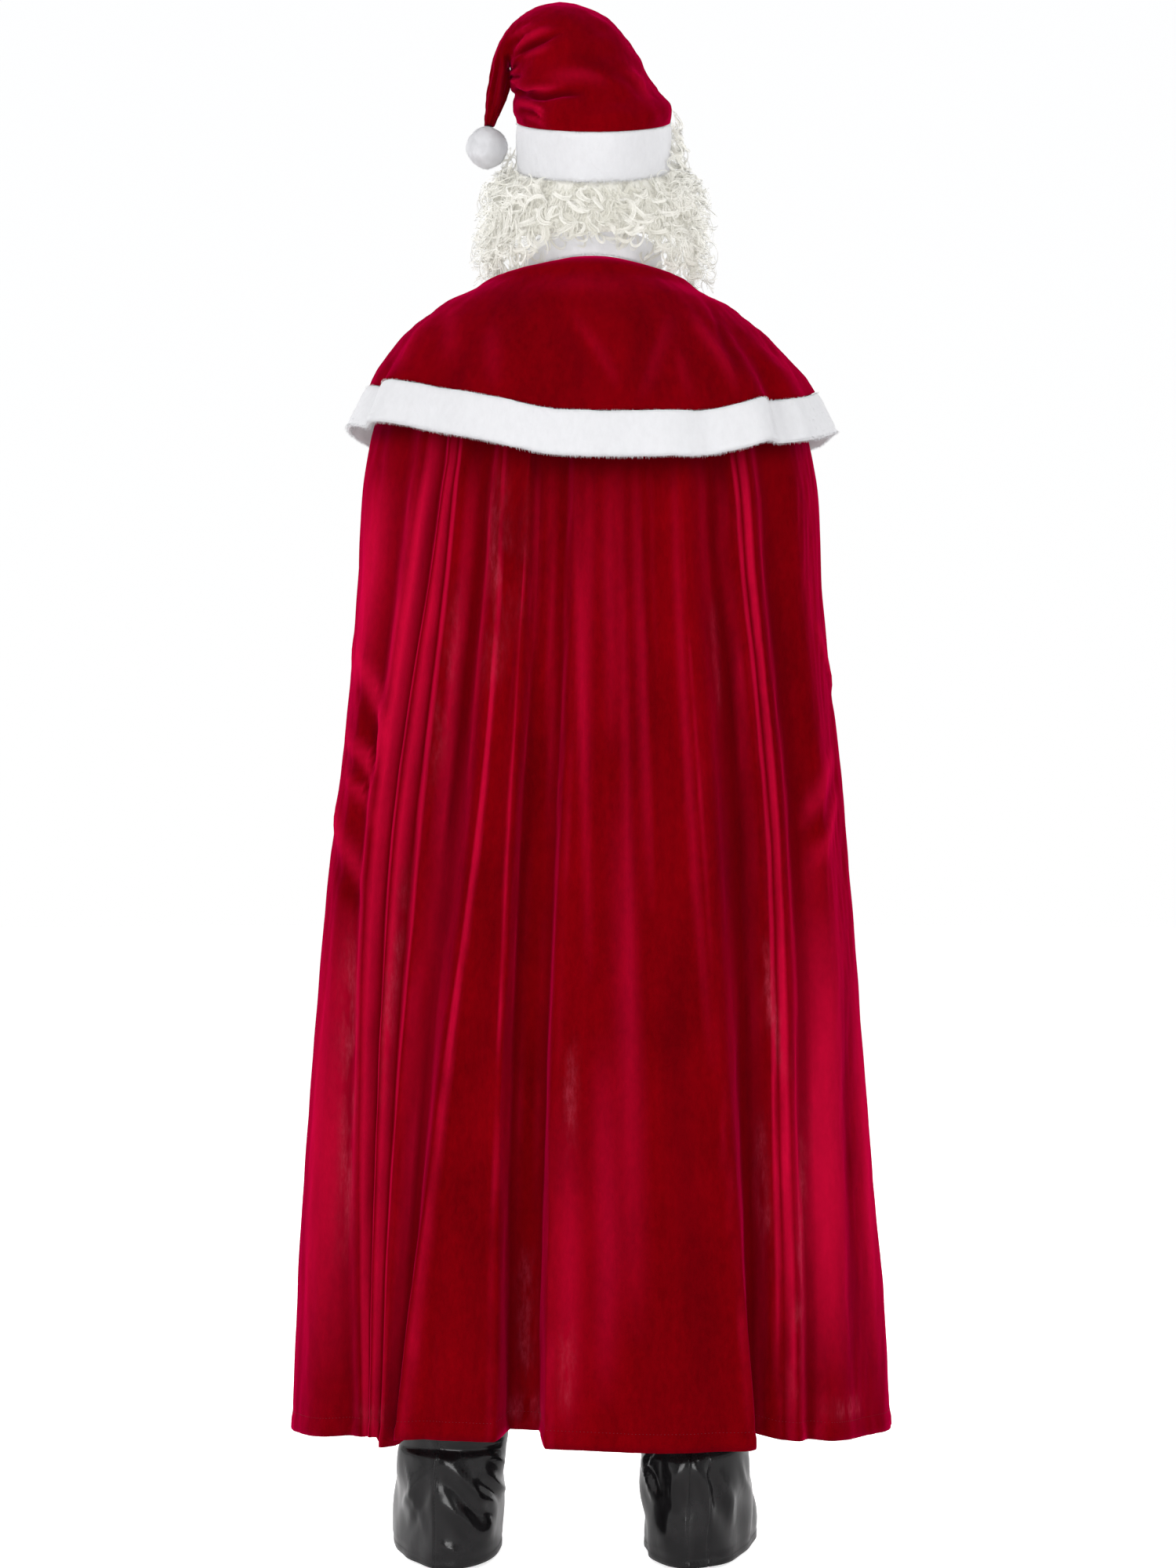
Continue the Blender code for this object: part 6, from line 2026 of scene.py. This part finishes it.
class SantaSuitStudio(bpy.types.PropertyGroup):
    lens: FloatProperty(
        name="Lens", description="Focal length of the camera in millimetres",
        default=69.12, min=20, max=200, unit="CAMERA")
    camera_aside: FloatProperty(
        name="Camera aside", description="How far the camera stands to the suit's left",
        default=0.0047, unit="LENGTH")
    camera_distance: FloatProperty(
        name="Camera distance", description="How far the camera stands behind the suit",
        default=3.6, min=1, max=20, unit="LENGTH")
    camera_height: FloatProperty(
        name="Camera height", description="Height of the camera above the floor",
        default=0.9175, min=0, max=4, unit="LENGTH")
    floor_radius: FloatProperty(
        name="Floor radius", description="Radius of the pale floor", default=16.0, min=2,
        max=60, unit="LENGTH")
    key_power: FloatProperty(
        name="Key power", description="Power of the soft boxes behind the suit in watts",
        default=76.0, min=0, max=1000)
    fill_power: FloatProperty(
        name="Fill power", description="Power of the soft boxes in front in watts",
        default=80.0, min=0, max=1000)
    low_power: FloatProperty(
        name="Low power", description="Power of the soft box that lifts the shadows",
        default=31.0, min=0, max=1000)
    surround: FloatProperty(
        name="Surround", description="Brightness of the white surround", default=1.0, min=0,
        max=4)
    ambient: FloatProperty(
        name="Ambient", description="Strength of the light that the surround gives",
        default=0.26, min=0, max=2)
    wall_left: FloatProperty(
        name="Left wall", description="Extra light from the surround on the suit's left",
        default=0.52, min=0, max=2)
    wall_right: FloatProperty(
        name="Right wall", description="Extra light from the surround on its right",
        default=0.34, min=0, max=2)
    floor_glow: FloatProperty(
        name="Floor glow", description="How much the lit paper floor is brightened",
        default=0.8, min=0, max=2)
    exposure: FloatProperty(
        name="Exposure", description="Exposure of the picture in stops", default=0.0,
        min=-4, max=4)


# ---- Operators and panel ----
class SANTA_OT_stage(bpy.types.Operator):
    """Lay the floor and set the camera, the soft boxes and the white surround"""
    bl_idname = "santa_suit.stage"
    bl_label = "Studio"

    def execute(self, context):
        build_stage()
        build_camera()
        build_lights()
        return {"FINISHED"}


class SANTA_OT_cloak(bpy.types.Operator):
    """Hang the long velvet cloak with its folds and stitched hem"""
    bl_idname = "santa_suit.cloak"
    bl_label = "Cloak"

    def execute(self, context):
        build_cloak()
        return {"FINISHED"}


class SANTA_OT_capelet(bpy.types.Operator):
    """Lay the capelet over the shoulders, with its plush band and collar"""
    bl_idname = "santa_suit.capelet"
    bl_label = "Capelet and collar"

    def execute(self, context):
        build_capelet()
        return {"FINISHED"}


class SANTA_OT_hat(bpy.types.Operator):
    """Build the velvet hat, its plush band and its bobble"""
    bl_idname = "santa_suit.hat"
    bl_label = "Hat"

    def execute(self, context):
        build_hat_crown()
        return {"FINISHED"}


class SANTA_OT_wig(bpy.types.Operator):
    """Grow the curly wig on its cap"""
    bl_idname = "santa_suit.wig"
    bl_label = "Wig"

    def execute(self, context):
        build_wig()
        return {"FINISHED"}


class SANTA_OT_jacket(bpy.types.Operator):
    """Build the jacket's panels and plush bands"""
    bl_idname = "santa_suit.jacket"
    bl_label = "Jacket"

    def execute(self, context):
        build_jacket()
        return {"FINISHED"}


class SANTA_OT_sleeves(bpy.types.Operator):
    """Build both sleeves and their plush cuffs"""
    bl_idname = "santa_suit.sleeves"
    bl_label = "Sleeves and cuffs"

    def execute(self, context):
        build_sleeves()
        return {"FINISHED"}


class SANTA_OT_belt(bpy.types.Operator):
    """Build the belt and finish its buckle"""
    bl_idname = "santa_suit.belt"
    bl_label = "Belt and buckle"

    def execute(self, context):
        build_belt()
        build_belt_buckle()
        return {"FINISHED"}


class SANTA_OT_trousers(bpy.types.Operator):
    """Build both halves of the trousers"""
    bl_idname = "santa_suit.trousers"
    bl_label = "Trousers"

    def execute(self, context):
        build_trousers()
        return {"FINISHED"}


class SANTA_OT_boots(bpy.types.Operator):
    """Build both faux-leather boot covers"""
    bl_idname = "santa_suit.boots"
    bl_label = "Boot covers"

    def execute(self, context):
        build_boots()
        return {"FINISHED"}


OPERATORS = (SANTA_OT_stage, SANTA_OT_cloak, SANTA_OT_capelet, SANTA_OT_hat, SANTA_OT_wig,
             SANTA_OT_jacket, SANTA_OT_sleeves, SANTA_OT_belt, SANTA_OT_trousers,
             SANTA_OT_boots)
SETTINGS = {
    "santa_suit_velvet": SantaSuitVelvet,
    "santa_suit_plush": SantaSuitPlush,
    "santa_suit_hidden_plush": SantaSuitPlush,
    "santa_suit_curls": SantaSuitCurls,
    "santa_suit_leather": SantaSuitLeather,
    "santa_suit_studio": SantaSuitStudio,
}
GROUPS = (SantaSuitVelvet, SantaSuitPlush, SantaSuitCurls, SantaSuitLeather,
          SantaSuitStudio)


class SANTA_PT_panel(bpy.types.Panel):
    """Lists the suit's settings and the operators that build it"""
    bl_idname = "SANTA_PT_panel"
    bl_label = "Santa Suit"
    bl_space_type = "VIEW_3D"
    bl_region_type = "UI"
    bl_category = "Santa Suit"

    def draw(self, context):
        for setting, group in SETTINGS.items():
            box = self.layout.box()
            box.label(text=setting.replace("santa_suit_", "").replace("_", " ").title())
            for name in group.__annotations__:
                box.prop(getattr(context.scene, setting), name)
        for operator in OPERATORS:
            self.layout.operator(operator.bl_idname)


CLASSES = GROUPS + OPERATORS + (SANTA_PT_panel,)


def register():
    for cls in CLASSES:
        bpy.utils.register_class(cls)
    for setting, group in SETTINGS.items():
        setattr(bpy.types.Scene, setting, PointerProperty(type=group))


def unregister():
    for setting in SETTINGS:
        delattr(bpy.types.Scene, setting)
    for cls in reversed(CLASSES):
        bpy.utils.unregister_class(cls)


def main():
    register()
    look_of("hidden_plush").pile_density = 0.08
    for operator in OPERATORS:
        group, name = operator.bl_idname.split(".")
        getattr(getattr(bpy.ops, group), name)()


if __name__ == "__main__":
    main()
